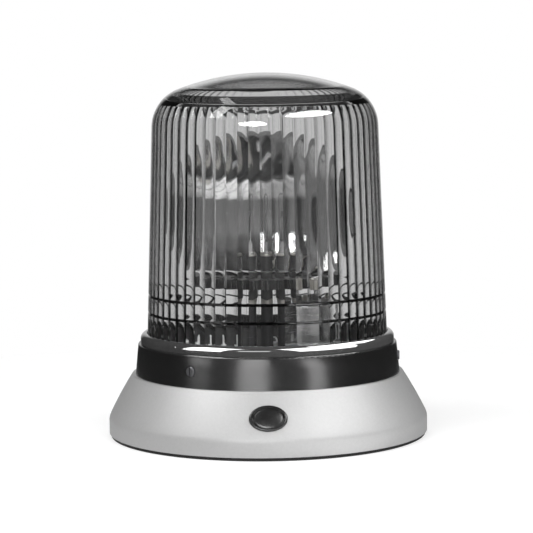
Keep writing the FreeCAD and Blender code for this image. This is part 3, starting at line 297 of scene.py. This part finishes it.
# %% [markdown]
# ## The mirror of the dish
# The dish is spun metal with a vapour-plated mirror. Spinning leaves rings about the dish's own
# axis, so the radius is measured from that axis: the place is turned to the dish's direction and
# only the two coordinates across it count.

# %% Spun and plated mirror
DISH_TURN = math.radians(-18.0)   # the dish's direction at rest, from straight ahead
FOCUS_Z = 139.0 * MM
RING_MARK, HAZE = 1.1 * MM, 11 * MM


def spun_mirror():
    """Mirror with ring marks: noise of the distance from the dish's axis."""
    mirror = Finish("spun_mirror")
    faced = {"Vector": mirror.place, "Rotation": (0, 0, -DISH_TURN)}
    mirror.place = mirror.node("Mapping", inputs=faced)
    x, _, z = mirror.axes()
    z = z - FOCUS_Z
    ring = mirror.node("CombineXYZ", inputs=[(x * x + z * z) ** 0.5, 0.0, 0.0])
    marks = mirror.node("TexNoise", inputs={"Vector": ring, "Scale": 1 / RING_MARK, "Detail": 2.0})
    haze = mirror.grain(HAZE, 2)
    return mirror.done(mirror.surface(Base_Color=mirror.blend(0.86, 0.78, haze), Metallic=1.0,
                                      Roughness=0.05 + 0.07 * haze,
                                      Normal=mirror.relief(marks, 0.03 * MM)))


MIRROR = spun_mirror()
print(MIRROR.name)

# %% [markdown]
# ## Clear mouldings and glass
# A clear wall needs two things: refraction for the eye, and light that still reaches what stands
# behind it. Real caustics take far too many samples, so a shadow ray sees a plain tinted
# transparency instead. The share comes from the Light Path node. The step inside the crown and
# the two grooves outside turn light away and look dark; a mask paints that shade on the wall.

# %% Clear lens and lamp glass
STEP_LOW, STEP_HIGH, STEP_R = 206.05 * MM, 210.4 * MM, 56.3 * MM
GROOVE_Z = (89.2 * MM, 78.2 * MM)
GROOVE_HALF = 0.9 * MM
GROOVE_R = 73.2 * MM
DRIFT, SPECK = 30 * MM, 1.3 * MM


def clear(name, tint, tint_far, bend, rough, shade, dark=None):
    """Refracting body whose colour drifts between two tints; shadow rays pass with a plain shade.

    dark is a function that gives the share of wall with painted shade at each place."""
    body = Finish(name)
    drift, specks = body.grain(DRIFT, 2), body.grain(SPECK, 2)
    colour = body.blend(tint, tint_far, drift)
    if dark:
        # painted shade: the wall's colour goes near-black where the step and the grooves turn light away
        colour = body.blend(colour, 0.01, dark(body))
    wall = body.surface(Base_Color=colour, Roughness=rough + rough * specks, IOR=bend,
                        Transmission_Weight=1.0)
    passed = body.node("BsdfTransparent", inputs=[grey(shade)])
    shadow = body.node("LightPath", output="Is Shadow Ray")
    return body.done(body.node("MixShader", inputs={0: shadow, 1: wall, 2: passed}))


def step_and_grooves(body):
    """Share of painted shade: 1 between the step's two heights inside its radius, and within half a
    width of a groove.
    """
    radius, z = body.radius(), body.axes()[2]
    share = (z > STEP_LOW) * (z < STEP_HIGH) * (radius < STEP_R)
    for groove in GROOVE_Z:
        near = (z > groove - GROOVE_HALF) * (z < groove + GROOVE_HALF)
        share = share + near * (radius > GROOVE_R)
    return share


LENS_CLEAR = clear("lens_clear", 0.86, 0.80, 1.49, 0.02, 0.80, step_and_grooves)
LAMP_GLASS = clear("lamp_glass", 0.97, 0.93, 1.47, 0.01, 0.95)
print(LENS_CLEAR.name, LAMP_GLASS.name)

# %% [markdown]
# ## The filament
# Tungsten is a dark grey wire, a little rough. It is off here: a lit lamp would flood the dish.

# %% Drawn tungsten
DIE_MARK = 0.3 * MM


def drawn_tungsten():
    """Dark metal whose roughness follows a fine grain."""
    wire = Finish("drawn_tungsten")
    grain = wire.grain(DIE_MARK, 2)
    return wire.done(wire.surface(Base_Color=wire.blend(0.18, 0.28, grain), Metallic=1.0,
                                  Roughness=0.3 + 0.2 * grain))


TUNGSTEN = drawn_tungsten()
print(TUNGSTEN.name)

# %% [markdown]
# ## Meshes from whole arrays
# A turned or moulded surface is a grid: one parameter runs along its outline, the other goes
# round. Working the grid out with numpy keeps the formula in one line, and one call turns it
# into faces. Where the outline starts or ends on the axis, the row becomes a single pole.

# %% From a grid of points to a mesh
def put(mesh, name, finish, body, node=None, crease=40.0):
    """Shows a mesh as a piece that rides on a body, with its finish, in place of a named solid."""
    mesh.shade_smooth()
    mesh.set_sharp_from_angle(angle=math.radians(crease))
    mesh.materials.clear()
    mesh.materials.append(finish)
    piece = bpy.data.objects.new(name, mesh)
    bpy.context.scene.collection.objects.link(piece)
    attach(piece, body)
    if node:
        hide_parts(node)
    return piece


def mesh_of(name, points, faces):
    """Mesh from an array of points and a list of faces, with its normals made consistent and outward."""
    mesh = bpy.data.meshes.new(name)
    mesh.from_pydata(points.tolist(), [], faces)
    shape = bmesh.new()
    shape.from_mesh(mesh)
    bmesh.ops.recalc_face_normals(shape, faces=shape.faces)
    shape.to_mesh(mesh)
    shape.free()
    return mesh


def quads(near, far):
    """Faces between two neighbouring rings of point numbers, or between two stacks of rings."""
    corners = [near, np.roll(near, -1, 1), np.roll(far, -1, 1), far]
    return np.stack(corners, axis=-1).reshape(-1, 4).tolist()


def turned(name, radius, height, around):
    """Surface of a closed outline turned about Z: x = r cos a, y = r sin a.

    radius is one number per row, or one per row and angle. A row of radius 0 at either end is a
    pole; otherwise the last row joins the first."""
    rows = len(height)
    radius = np.broadcast_to(np.reshape(radius, (rows, -1)), (rows, around))
    angle = np.arange(around) * 2 * np.pi / around
    points = np.stack([radius * np.cos(angle), radius * np.sin(angle),
                       np.broadcast_to(np.reshape(height, (rows, 1)), (rows, around))], axis=-1)
    index = np.arange(rows * around).reshape(rows, around)
    poles = radius[0].max() < 1e-9 and radius[-1].max() < 1e-9
    body = index[1:-1] if poles else np.concatenate([index, index[:1]])
    faces = quads(body[:-1], body[1:])
    points = points.reshape(-1, 3)
    if poles:
        for row, ring in ((0, index[1]), (rows - 1, index[-2])):
            hub = np.full(around, index[row, 0])
            faces += np.stack([hub, ring, np.roll(ring, -1)], axis=-1).tolist()
        used = np.r_[index[0, 0], index[1:-1].ravel(), index[-1, 0]]
        fresh = np.zeros(rows * around, int)
        fresh[used] = np.arange(len(used))
        points = points[used]
        faces = [fresh[face].tolist() for face in faces]
    return mesh_of(name, points, faces)


print("grids are ready")

# %% [markdown]
# ## Tubes
# Wires are a circle carried along a path. On each point of the path two directions across it are
# needed; taking one from a fixed reference keeps neighbouring circles from twisting. A curve
# with a bevel would draw the same wire, but its mesh would come only at render time.

# %% A round wire along a path
REFERENCE = np.array([0.31, 0.17, 0.93])    # leans off every stretch of the wire


def wire_along(name, path, radius, sides):
    """Tube: each point of the path plus radius times (cos a, sin a) in the directions across it."""
    ahead = np.gradient(path, axis=0)
    ahead /= np.linalg.norm(ahead, axis=1, keepdims=True)
    side = np.cross(ahead, REFERENCE)
    side /= np.linalg.norm(side, axis=1, keepdims=True)
    up = np.cross(side, ahead)
    angle = np.arange(sides) * 2 * np.pi / sides
    rings = (path[:, None] + radius * (np.cos(angle)[None, :, None] * side[:, None]
                                       + np.sin(angle)[None, :, None] * up[:, None]))
    index = np.arange(rings.shape[0] * sides).reshape(-1, sides)
    faces = quads(index[:-1], index[1:]) + [index[0].tolist(), index[-1].tolist()]
    return mesh_of(name, rings.reshape(-1, 3), faces)


print("wires are ready")

# %% [markdown]
# ## The lens
# The lens is one clear moulding. Outside it is smooth: a wall with a little draft, a round
# shoulder and a shallow crown, with two thin grooves near its foot. Inside, the wall carries 64
# upright flutes, crossed by shallow scallops, which spread the beam; the crown stays smooth and
# ends in a level ledge. A modifier could bend a plain shell, but the flutes are exact, so the
# radius is written as one formula over the height and the angle and turned into a grid.

# %% Outline of the lens
FLANGE_TOP_Z = 62.5 * MM
FLANGE_R = 77.6 * MM
FOOT_R = 76.0 * MM
DRAFT = math.radians(2.0)
SHOULDER_R = 26.0 * MM
CROWN_R = 156.0 * MM
WALL = 4.5 * MM
CROWN_ROWS, BEND_ROWS, WALL_ROWS = 12, 8, 78
lens_low, lens_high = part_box("dome_lens")
LENS_Z, CROWN_Z = lens_low.z, lens_high.z


def shoulder_centre():
    """Centre of the shoulder's arc, which touches the drafted wall and the crown's arc."""
    z = CROWN_Z - SHOULDER_R
    for _ in range(20):
        r = FOOT_R - (z - FLANGE_TOP_Z) * math.tan(DRAFT) - SHOULDER_R / math.cos(DRAFT)
        z = CROWN_Z - CROWN_R + math.sqrt((CROWN_R - SHOULDER_R) ** 2 - r * r)
    return r, z


BEND_R, BEND_Z = shoulder_centre()
TOP_ANGLE = math.atan2(BEND_Z - (CROWN_Z - CROWN_R), BEND_R)


def crown_arc(inset, r_max, count):
    """Radii and heights on the crown, from the axis out to a radius."""
    angle = np.linspace(0, np.arcsin(r_max / (CROWN_R - inset)), count)
    return (CROWN_R - inset) * np.sin(angle), CROWN_Z - CROWN_R + (CROWN_R - inset) * np.cos(angle)


def shoulder_arc(inset, start, end, count):
    """Radii and heights on the shoulder between two angles above level."""
    angle = np.linspace(start, end, count)
    return BEND_R + (SHOULDER_R - inset) * np.cos(angle), BEND_Z + (SHOULDER_R - inset) * np.sin(angle)


def wall_radius(z, inset):
    """Radius of the drafted wall at a height: the foot's, less the height times the draft's tangent."""
    return FOOT_R - (z - FLANGE_TOP_Z) * math.tan(DRAFT) - inset / math.cos(DRAFT)


print(f"shoulder centre {BEND_R / MM:.2f}, {BEND_Z / MM:.2f} mm")

# %% The fluted moulding
GROOVE_DEPTH = 0.7 * MM
FLUTES = 64
FLUTE_DEPTH = 0.75 * MM
SCALLOP_PITCH = 11.5 * MM
SCALLOP_DEPTH = 0.22 * MM
LEDGE_Z = 206.0 * MM
LEDGE_IN_R = 56.0 * MM
LENS_AROUND = 512
EDGE = 0.2 * MM              # small bevel round the flange
LEDGE_BEVEL = 0.5 * MM
CROWN_INSET = 3.0 * MM       # the inner crown starts this far inside the ledge


def lens_outside():
    """Rows from the crown down to the flange; a groove takes its depth away in a V of its half width."""
    top = crown_arc(0, BEND_R * CROWN_R / (CROWN_R - SHOULDER_R), CROWN_ROWS)
    bend = shoulder_arc(0, TOP_ANGLE, DRAFT, BEND_ROWS + 6)
    steps = np.array([1, 0.5, 0, -0.5, -1]) * GROOVE_HALF
    plain = np.linspace(BEND_Z + SHOULDER_R * math.sin(DRAFT), FLANGE_TOP_Z, 16)[1:]
    z = np.sort(np.concatenate([plain] + [steps + g for g in GROOVE_Z]))[::-1]
    cut = sum(np.clip(1 - np.abs(z - g) / GROOVE_HALF, 0, 1) for g in GROOVE_Z)
    r = wall_radius(z, 0) - GROOVE_DEPTH * cut
    flange = FLANGE_R - EDGE * np.array([1, 0, 0, 1])
    flange_z = np.array([FLANGE_TOP_Z, FLANGE_TOP_Z - EDGE, LENS_Z + EDGE, LENS_Z])
    radius = np.concatenate([top[0], bend[0][1:], r, flange])
    return radius, np.concatenate([top[1], bend[1][1:], z, flange_z])


def lens_inside():
    """Rows from the foot up to the crown, and which of them carry flutes."""
    low = BEND_Z + (SHOULDER_R - WALL) * math.sin(DRAFT)
    wall_z = np.linspace(LENS_Z, low, WALL_ROWS)
    wall_r = wall_radius(wall_z, WALL)
    reach = math.asin((LEDGE_Z - BEND_Z) / (SHOULDER_R - WALL))
    bend = shoulder_arc(WALL, DRAFT, reach, BEND_ROWS)
    ledge_r = np.array([LEDGE_IN_R + LEDGE_BEVEL, LEDGE_IN_R])
    ledge_z = np.array([LEDGE_Z, LEDGE_Z + LEDGE_BEVEL])
    crown = crown_arc(WALL, LEDGE_IN_R - CROWN_INSET, CROWN_ROWS)
    radius = np.concatenate([wall_r, bend[0][1:], ledge_r, crown[0][::-1]])
    height = np.concatenate([wall_z, bend[1][1:], ledge_z, crown[1][::-1]])
    fluted = np.arange(len(height))
    return radius, height, (fluted > 0) & (fluted < WALL_ROWS + BEND_ROWS - 1)


def fluted_lens():
    """Inner radius = outline - depth * |cos(half the flutes * angle)| + scallop over the height."""
    out_r, out_z = lens_outside()
    in_r, in_z, fluted = lens_inside()
    angle = np.arange(LENS_AROUND) * 2 * np.pi / LENS_AROUND
    ridge = 0.5 - np.abs(np.cos(FLUTES / 2 * angle))
    scallop = np.abs(np.sin(np.pi * (in_z - LEDGE_Z) / SCALLOP_PITCH)) - 0.5
    pattern = FLUTE_DEPTH * ridge[None, :] + SCALLOP_DEPTH * scallop[:, None]
    inner = in_r[:, None] + fluted[:, None] * pattern
    outer = np.repeat(out_r[:, None], LENS_AROUND, 1)
    mesh = turned("fluted_lens", np.concatenate([outer, inner]), np.concatenate([out_z, in_z]),
                  LENS_AROUND)
    return put(mesh, "fluted_lens", LENS_CLEAR, "lens_cover", "dome_lens", crease=30)


lens = fluted_lens()
print(lens.name, len(lens.data.polygons), "faces")

# %% [markdown]
# ## The filament's coil
# The solid behind the filament is a plain rod. The real one is a wire wound into a coil that
# hangs between two lead wires, so it is drawn as a helix: the angle grows with the height.

# %% A coil between two leads
COIL_HALF, COIL_R, COIL_TURNS = 2.4 * MM, 0.55 * MM, 9
COIL_LOW, COIL_HIGH = FOCUS_Z - COIL_HALF, FOCUS_Z + COIL_HALF
POINTS_PER_TURN = 14
LEADS_Z = 121.0 * MM         # both leads enter the glass's foot here
LEG_X = -1.9 * MM
LOOP = 0.5 * MM              # the wire leaves the coil this far above it
WIRE_R = 0.16 * MM


def filament():
    """Helix (r cos t, r sin t, z) with straight legs, and a second leg that comes down beside it."""
    turns = np.linspace(0, COIL_TURNS * 2 * np.pi, COIL_TURNS * POINTS_PER_TURN)
    coil = np.stack([COIL_R * np.cos(turns), COIL_R * np.sin(turns),
                     np.linspace(COIL_LOW, COIL_HIGH, len(turns))], axis=-1)
    start = np.array([[COIL_R, 0, LEADS_Z], [COIL_R, 0, COIL_LOW - 0.6 * MM]])
    end = np.array([[0, 0, COIL_HIGH + LOOP], [LEG_X, 0, COIL_HIGH + LOOP],
                    [LEG_X, 0, COIL_HIGH - 2 * LOOP], [LEG_X, 0, LEADS_Z]])
    mesh = wire_along("filament_coil", np.concatenate([start, coil, end]), WIRE_R, 8)
    return put(mesh, "filament_coil", TUNGSTEN, "base", "lamp_filament")


coil = filament()
print(coil.name, len(coil.data.polygons), "faces")

# %% [markdown]
# ## The oval plug
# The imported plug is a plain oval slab. The moulded one has a raised rim and a slightly domed
# face, which catches a soft spot of light. An oval is a disc stretched differently along two
# directions, so the disc is turned from a profile and one matrix stretches and places it. Its
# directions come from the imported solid: its points spread least along the normal.

# %% A rimmed and domed oval
DOME_SHARE = 0.70            # the dome ends at this share of the oval's half width
DOME_RISE, DOME_SINK = 0.45 * MM, 0.15 * MM
RIM_SHARE = [0.75, 0.79, 0.84, 0.93, 0.97, 1.0]
RIM_DROP = np.array([0.75, 0.75, 0.05, 0.05, 0.2, 0.7]) * MM


def oval_plug():
    """Turned disc, stretched to the oval's half width and half height and laid on the skirt."""
    solid = frame["nodes"]["badge_plug"].data
    points = np.empty(len(solid.vertices) * 3)
    solid.vertices.foreach_get("co", points)
    points = points.reshape(-1, 3)
    normal = np.linalg.svd(points - points.mean(0))[2][2]
    normal *= -np.sign(normal[1])
    across = np.array([1.0, 0.0, 0.0])
    upward = np.cross(normal, across)
    upward *= np.sign(upward[2])
    axes = np.stack([across, upward, normal], axis=1)
    spans = points @ axes
    half = (spans.max(0) - spans.min(0)) / 2
    middle = axes @ ((spans.max(0) + spans.min(0)) / 2)
    share = np.linspace(0, DOME_SHARE, 9)
    dome = half[2] - DOME_SINK - DOME_RISE * (share / DOME_SHARE) ** 2
    radius = np.concatenate([share, RIM_SHARE, [1.0, 0]])
    height = np.concatenate([dome, half[2] - RIM_DROP, [-half[2], -half[2]]])
    mesh = turned("oval_plug", radius, height, 96)
    place = np.eye(4)
    place[:3, :3] = axes * [half[0], half[1], 1]
    place[:3, 3] = middle
    mesh.transform(Matrix(place.tolist()))
    return put(mesh, "oval_plug", PLUG_BLACK, "base", "badge_plug", crease=50)


plug = oval_plug()
print(plug.name, len(plug.data.polygons), "faces")

# %% [markdown]
# ## The remaining solids
# Every other solid already has its shape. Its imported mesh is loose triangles, so a copy has its
# doubles merged, which lets the curved faces shade smoothly while the edges stay crisp.

# %% Dress the solids
DRESS = {
    "base_housing": ("cast_base", ENAMEL), "base_gasket": ("rubber_mat", RUBBER),
    "cable_grommet": ("grommet", RUBBER),
    "dome_seal": ("lens_seal", RUBBER), "lens_ring": ("gloss_ring", RING_BLACK),
    "clamp_band": ("gloss_band", BAND_BLACK), "ring_screws": ("band_screws", DULL_STEEL),
    "chassis_plate": ("plate", BLACKED), "chassis_screws": ("plate_screws", ZINC),
    "lamp_column": ("post", BLACKED), "column_screws": ("post_screws", ZINC),
    "thrust_washer": ("washer", NICKEL), "retaining_clip": ("spring_ring", STEEL),
    "lamp_holder": ("holder", HARD_BLACK), "lamp_seat": ("seat_plate", NICKEL),
    "lamp_cap": ("lamp_cap_look", STEEL), "lamp_glass": ("lamp_glass_look", LAMP_GLASS),
    "lamp_clip": ("lamp_stirrup", STEEL), "rotor_gear": ("toothed_wheel", GEAR_BLACK),
    "rotor_bush": ("bush", NICKEL), "reflector": ("dish", MIRROR),
    "reflector_bracket": ("dish_bracket", ZINC), "bracket_screws": ("foot_screws", ZINC),
    "reflector_screws": ("dish_screws", ZINC), "motor_body": ("motor_can", STEEL),
    "motor_cap": ("motor_end", HARD_BLACK), "motor_tags": ("motor_tabs", NICKEL),
    "motor_sleeve": ("sleeve", RUBBER), "motor_cup": ("cup", ZINC),
    "motor_screws": ("cup_screws", ZINC), "motor_shaft": ("shaft", STEEL),
    "pinion": ("pinion_look", NICKEL), "terminal_block": ("terminals", TERMINAL_WHITE),
    "terminal_screws": ("clamp_screws", NICKEL), "suppressor": ("suppressor_can", CAN),
}
WELD = 0.004 * MM


def dress(node, name, finish):
    """Copy of a solid's mesh with its doubles merged, shown in its place."""
    mesh = frame["nodes"][node].data.copy()
    mesh.name = name
    for layer in [a.name for a in mesh.attributes if a.name == "custom_normal"]:
        mesh.attributes.remove(mesh.attributes[layer])
    shape = bmesh.new()
    shape.from_mesh(mesh)
    bmesh.ops.remove_doubles(shape, verts=shape.verts, dist=WELD)
    shape.to_mesh(mesh)
    shape.free()
    return put(mesh, name, finish, body_of[node], node, crease=30)


for node, (name, finish) in DRESS.items():
    dress(node, name, finish)
print(len(DRESS), "solids dressed")

# %% [markdown]
# ## Floor
# The beacon stands on a plain pale floor that fades to white. What the eye sees there and what
# the lens and the dish may show are two things: a clear lens in front of pure white would vanish.
# So a ray from the eye sees the white floor, and every other ray sees a dim one with a backdrop
# straight behind the beacon, a softer light in front of it and a bright card for the dish.

# %% Light from all round
DIM = 0.03
BACK_EDGE, BACK_FULL, BACK_LEVEL = 0.92, 0.985, 0.78
FRONT_EDGE, FRONT_FULL, FRONT_LEVEL = -0.25, -0.75, 0.22
TINY = 0.001                 # keeps the division defined on the axis


def round_light(tree, back_fade=1.0, front_fade=1.0):
    """Dim, with a backdrop and a front light by the cosine y / radius of the angle from behind."""
    cosine = tree.axes()[1] / (tree.radius() + TINY)
    back = tree.ramp(cosine, BACK_EDGE, BACK_FULL) * back_fade
    front = tree.ramp(cosine, FRONT_EDGE, FRONT_FULL) * front_fade
    return DIM + BACK_LEVEL * back + FRONT_LEVEL * front


print("light from all round is ready")

# %% A pale floor
NEAR_R, FAR_R = 0.13, 0.42
NEAR_GLOW = 0.48             # white enough that the shadow alone marks the floor
CARD_TURN = math.radians(30)         # the card lies in front and to the right
CARD_EDGE, CARD_FULL = 0.068 ** 2, 0.056 ** 2       # squares of its half width
CARD_LEVEL = 14.0


def floor_card(ground):
    """Bright strip that leads away from the beacon: a ramp across it times one at each end."""
    x, y, _ = ground.axes()
    along = x * math.sin(CARD_TURN) - y * math.cos(CARD_TURN)
    across = x * math.cos(CARD_TURN) + y * math.sin(CARD_TURN)
    ends = ground.ramp(along, 0.106, 0.118) * ground.ramp(along, 0.42, 0.36)
    return ground.ramp(across * across, CARD_EDGE, CARD_FULL) * ends * CARD_LEVEL


def pale_floor():
    """Matt and pale near the beacon; further out it gives light and takes none."""
    ground = Finish("pale_floor")
    haze = ground.grain(0.4, 2)
    far = ground.ramp(ground.radius(), NEAR_R, FAR_R)
    seen = ground.node("LightPath", output="Is Camera Ray")
    white = NEAR_GLOW + (1 - NEAR_GLOW) * far
    glow = seen * white + (1 - seen) * (floor_card(ground) + far * round_light(ground))
    matt = ground.blend(ground.blend(0.58, 0.62, haze), 0.0, far)
    return ground.done(ground.surface(Base_Color=matt, Roughness=0.9, Specular_IOR_Level=0.0,
                                      Emission_Color=ground.blend(0.0, 1.0, glow),
                                      Emission_Strength=1.0))


FLOOR_R = 3.0
FLOOR_SINK = 0.0002          # keeps the floor clear of the mat's own face
FLOOR_THICK = 0.02


def floor_disc():
    """Flat disc: rows of growing radius at height 0, closed below by a second layer."""
    r = np.array([0, 0.3, 1.0, FLOOR_R, FLOOR_R, 1.0, 0])
    z = -FLOOR_THICK * np.array([0, 0, 0, 0, 1, 1, 1]) - FLOOR_SINK
    mesh = turned("floor", r, z, 64)
    mesh.materials.append(pale_floor())
    disc = bpy.data.objects.new("floor", mesh)
    bpy.context.scene.collection.objects.link(disc)
    return disc


floor = floor_disc()
print(floor.name)

# %% [markdown]
# ## Lamps
# Gloss black, a mirror and a clear lens show mostly what they mirror, so the place and the size
# of a lamp draw the highlight. One set of lamps can't draw them all: a lamp that makes the ring's
# crescents would wash out the dish. Light linking gives each glossy piece lamps of its own, and
# four broad lamps light the rest. The two lamps of the crown are hidden from light that has
# passed the wall, so they lie on the lens's skin and leave no image in the dish.

# %% Soft lamps
LAMP_AIM = np.array([0, 0, 0.12])
LENS, DISH, RING, BAND = "fluted_lens", "dish", "gloss_ring", "gloss_band"
ONLY, ALL_BUT = "INCLUDE", "EXCLUDE"
# azimuth and elevation in degrees; distance, width and height in metres; power in watts
LAMPS = {
    "front_left": (-12, 13.5, 1.5, 0.72, 0.45, 7, "RECTANGLE", ALL_BUT, (DISH, BAND, LENS)),
    "right_high": (58, 40, 1.5, 1.6, 0.6, 17, "RECTANGLE", ALL_BUT, (DISH, LENS, RING)),
    "left_high": (-65, 50, 1.5, 0.9, 0.9, 15, "RECTANGLE", ALL_BUT, (DISH, LENS, RING)),
    "overhead": (180, 75, 1.6, 1.0, 0.8, 4, "RECTANGLE", ALL_BUT, (DISH, LENS, RING)),
    "dish_left": (-54, 42, 1.5, 0.30, 0.75, 6, "RECTANGLE", ONLY, (DISH, LENS)),
    "ring_left": (-57, 26, 0.9, 0.62, 1.1, 45, "RECTANGLE", ONLY, (RING,)),
    "ring_right": (55, 26, 0.9, 1.1, 1.1, 80, "RECTANGLE", ONLY, (RING,)),
    "ring_right_back": (120, 50, 0.9, 0.5, 0.7, 20, "RECTANGLE", ONLY, (RING,)),
    "crown_left": (-12, 16, 1.5, 0.72, 0.28, 14, "ELLIPSE", ONLY, (LENS,)),
    "crown_right": (50, 36, 1.5, 1.3, 0.36, 32, "ELLIPSE", ONLY, (LENS,)),
    "band_front": (-12, 6, 1.5, 0.66, 0.55, 4.6, "RECTANGLE", ONLY, (BAND,)),
    "band_right": (41.5, 6, 1.5, 0.40, 0.55, 2.6, "RECTANGLE", ONLY, (BAND,)),
    "band_left": (-60, 3, 1.5, 0.50, 0.14, 0.8, "RECTANGLE", ONLY, (BAND,)),
}
SKIN_ONLY = ("crown_left", "crown_right")


def soft_lamp(name, azimuth, elevation, distance, width, height, power, shape):
    """Area lamp aimed at the lens's middle; azimuth 0 is in front and grows to the right."""
    turn, rise = math.radians(azimuth), math.radians(elevation)
    toward = np.array([math.sin(turn) * math.cos(rise), -math.cos(turn) * math.cos(rise),
                       math.sin(rise)])
    light = bpy.data.lights.new(name, "AREA")
    light.shape, light.size, light.size_y, light.energy = shape, width, height, power
    lamp = bpy.data.objects.new(name, light)
    bpy.context.scene.collection.objects.link(lamp)
    lamp.location = LAMP_AIM + distance * toward
    lamp.rotation_euler = (math.pi / 2 - rise, 0, turn)
    lamp.visible_transmission = name not in SKIN_ONLY
    return lamp


def linked(lamp, state, pieces):
    """Lets a lamp light only the named pieces, or all but the named ones."""
    group = bpy.data.collections.new(lamp.name + "_pieces")
    for piece in pieces:
        group.objects.link(bpy.data.objects[piece])
    lamp.light_linking.receiver_collection = group
    for entry in group.collection_objects:
        entry.light_linking.link_state = state


for name, (*numbers, state, pieces) in LAMPS.items():
    linked(soft_lamp(name, *numbers), state, pieces)
print(len(LAMPS), "lamps")

# %% [markdown]
# ## Surroundings
# Above the floor the world carries the same light on: white to the eye, and for every other ray
# the backdrop and the front light, which fade out with height. Its place is a direction.

# %% World
BACK_TOP, BACK_FADE = 0.42, 0.24     # heights of a direction where the backdrop is gone and full
FRONT_TOP, FRONT_FADE = 0.75, 0.35


def surroundings():
    """White to the eye; otherwise the light from all round, faded with the direction's height."""
    world = bpy.data.worlds.new("surroundings")
    bpy.context.scene.world = world
    air = Finish("surroundings", world)
    z = air.axes()[2]
    light = round_light(air, air.ramp(z, BACK_TOP, BACK_FADE), air.ramp(z, FRONT_TOP, FRONT_FADE))
    seen = air.node("LightPath", output="Is Camera Ray")
    level = seen.maths("MAXIMUM", seen, light)
    shader = air.node("Background", inputs={"Color": grey(1.0), "Strength": level})
    air.node("OutputWorld", inputs={"Surface": shader})


surroundings()
scene = bpy.context.scene
scene.view_settings.view_transform = "Standard"
scene.view_settings.look = "None"
print("surroundings and view are set")

# %% [markdown]
# ## The camera
# The beacon is seen from straight ahead at the height of the lens's shoulder, with a long lens.
# It leans a little to the left in the frame, so the camera rolls by under a degree.

# %% Camera
CAMERA_PLACE = np.array([0.0, -1.206, 0.2165])
CAMERA_AIM = np.array([0.0, 0.0, 0.1056])
CAMERA_ROLL = math.radians(-0.66)
FOCAL_LENGTH, SENSOR_WIDTH = 129.1, 36.0    # millimetres


def camera():
    """Camera that looks from its place to its aim, turned about its own view by the roll."""
    data = bpy.data.cameras.new("camera")
    data.lens, data.sensor_width = FOCAL_LENGTH, SENSOR_WIDTH
    eye = bpy.data.objects.new("camera", data)
    bpy.context.scene.collection.objects.link(eye)
    look = CAMERA_AIM - CAMERA_PLACE
    pitch = math.atan2(look[2], math.hypot(look[0], look[1]))
    tilt = Matrix.Rotation(math.pi / 2 + pitch, 4, "X")
    eye.matrix_world = (Matrix.Translation(CAMERA_PLACE) @ tilt
                        @ Matrix.Rotation(CAMERA_ROLL, 4, "Z"))
    bpy.context.scene.camera = eye
    return eye


eye = camera()
print("camera", tuple(round(v, 4) for v in eye.location))
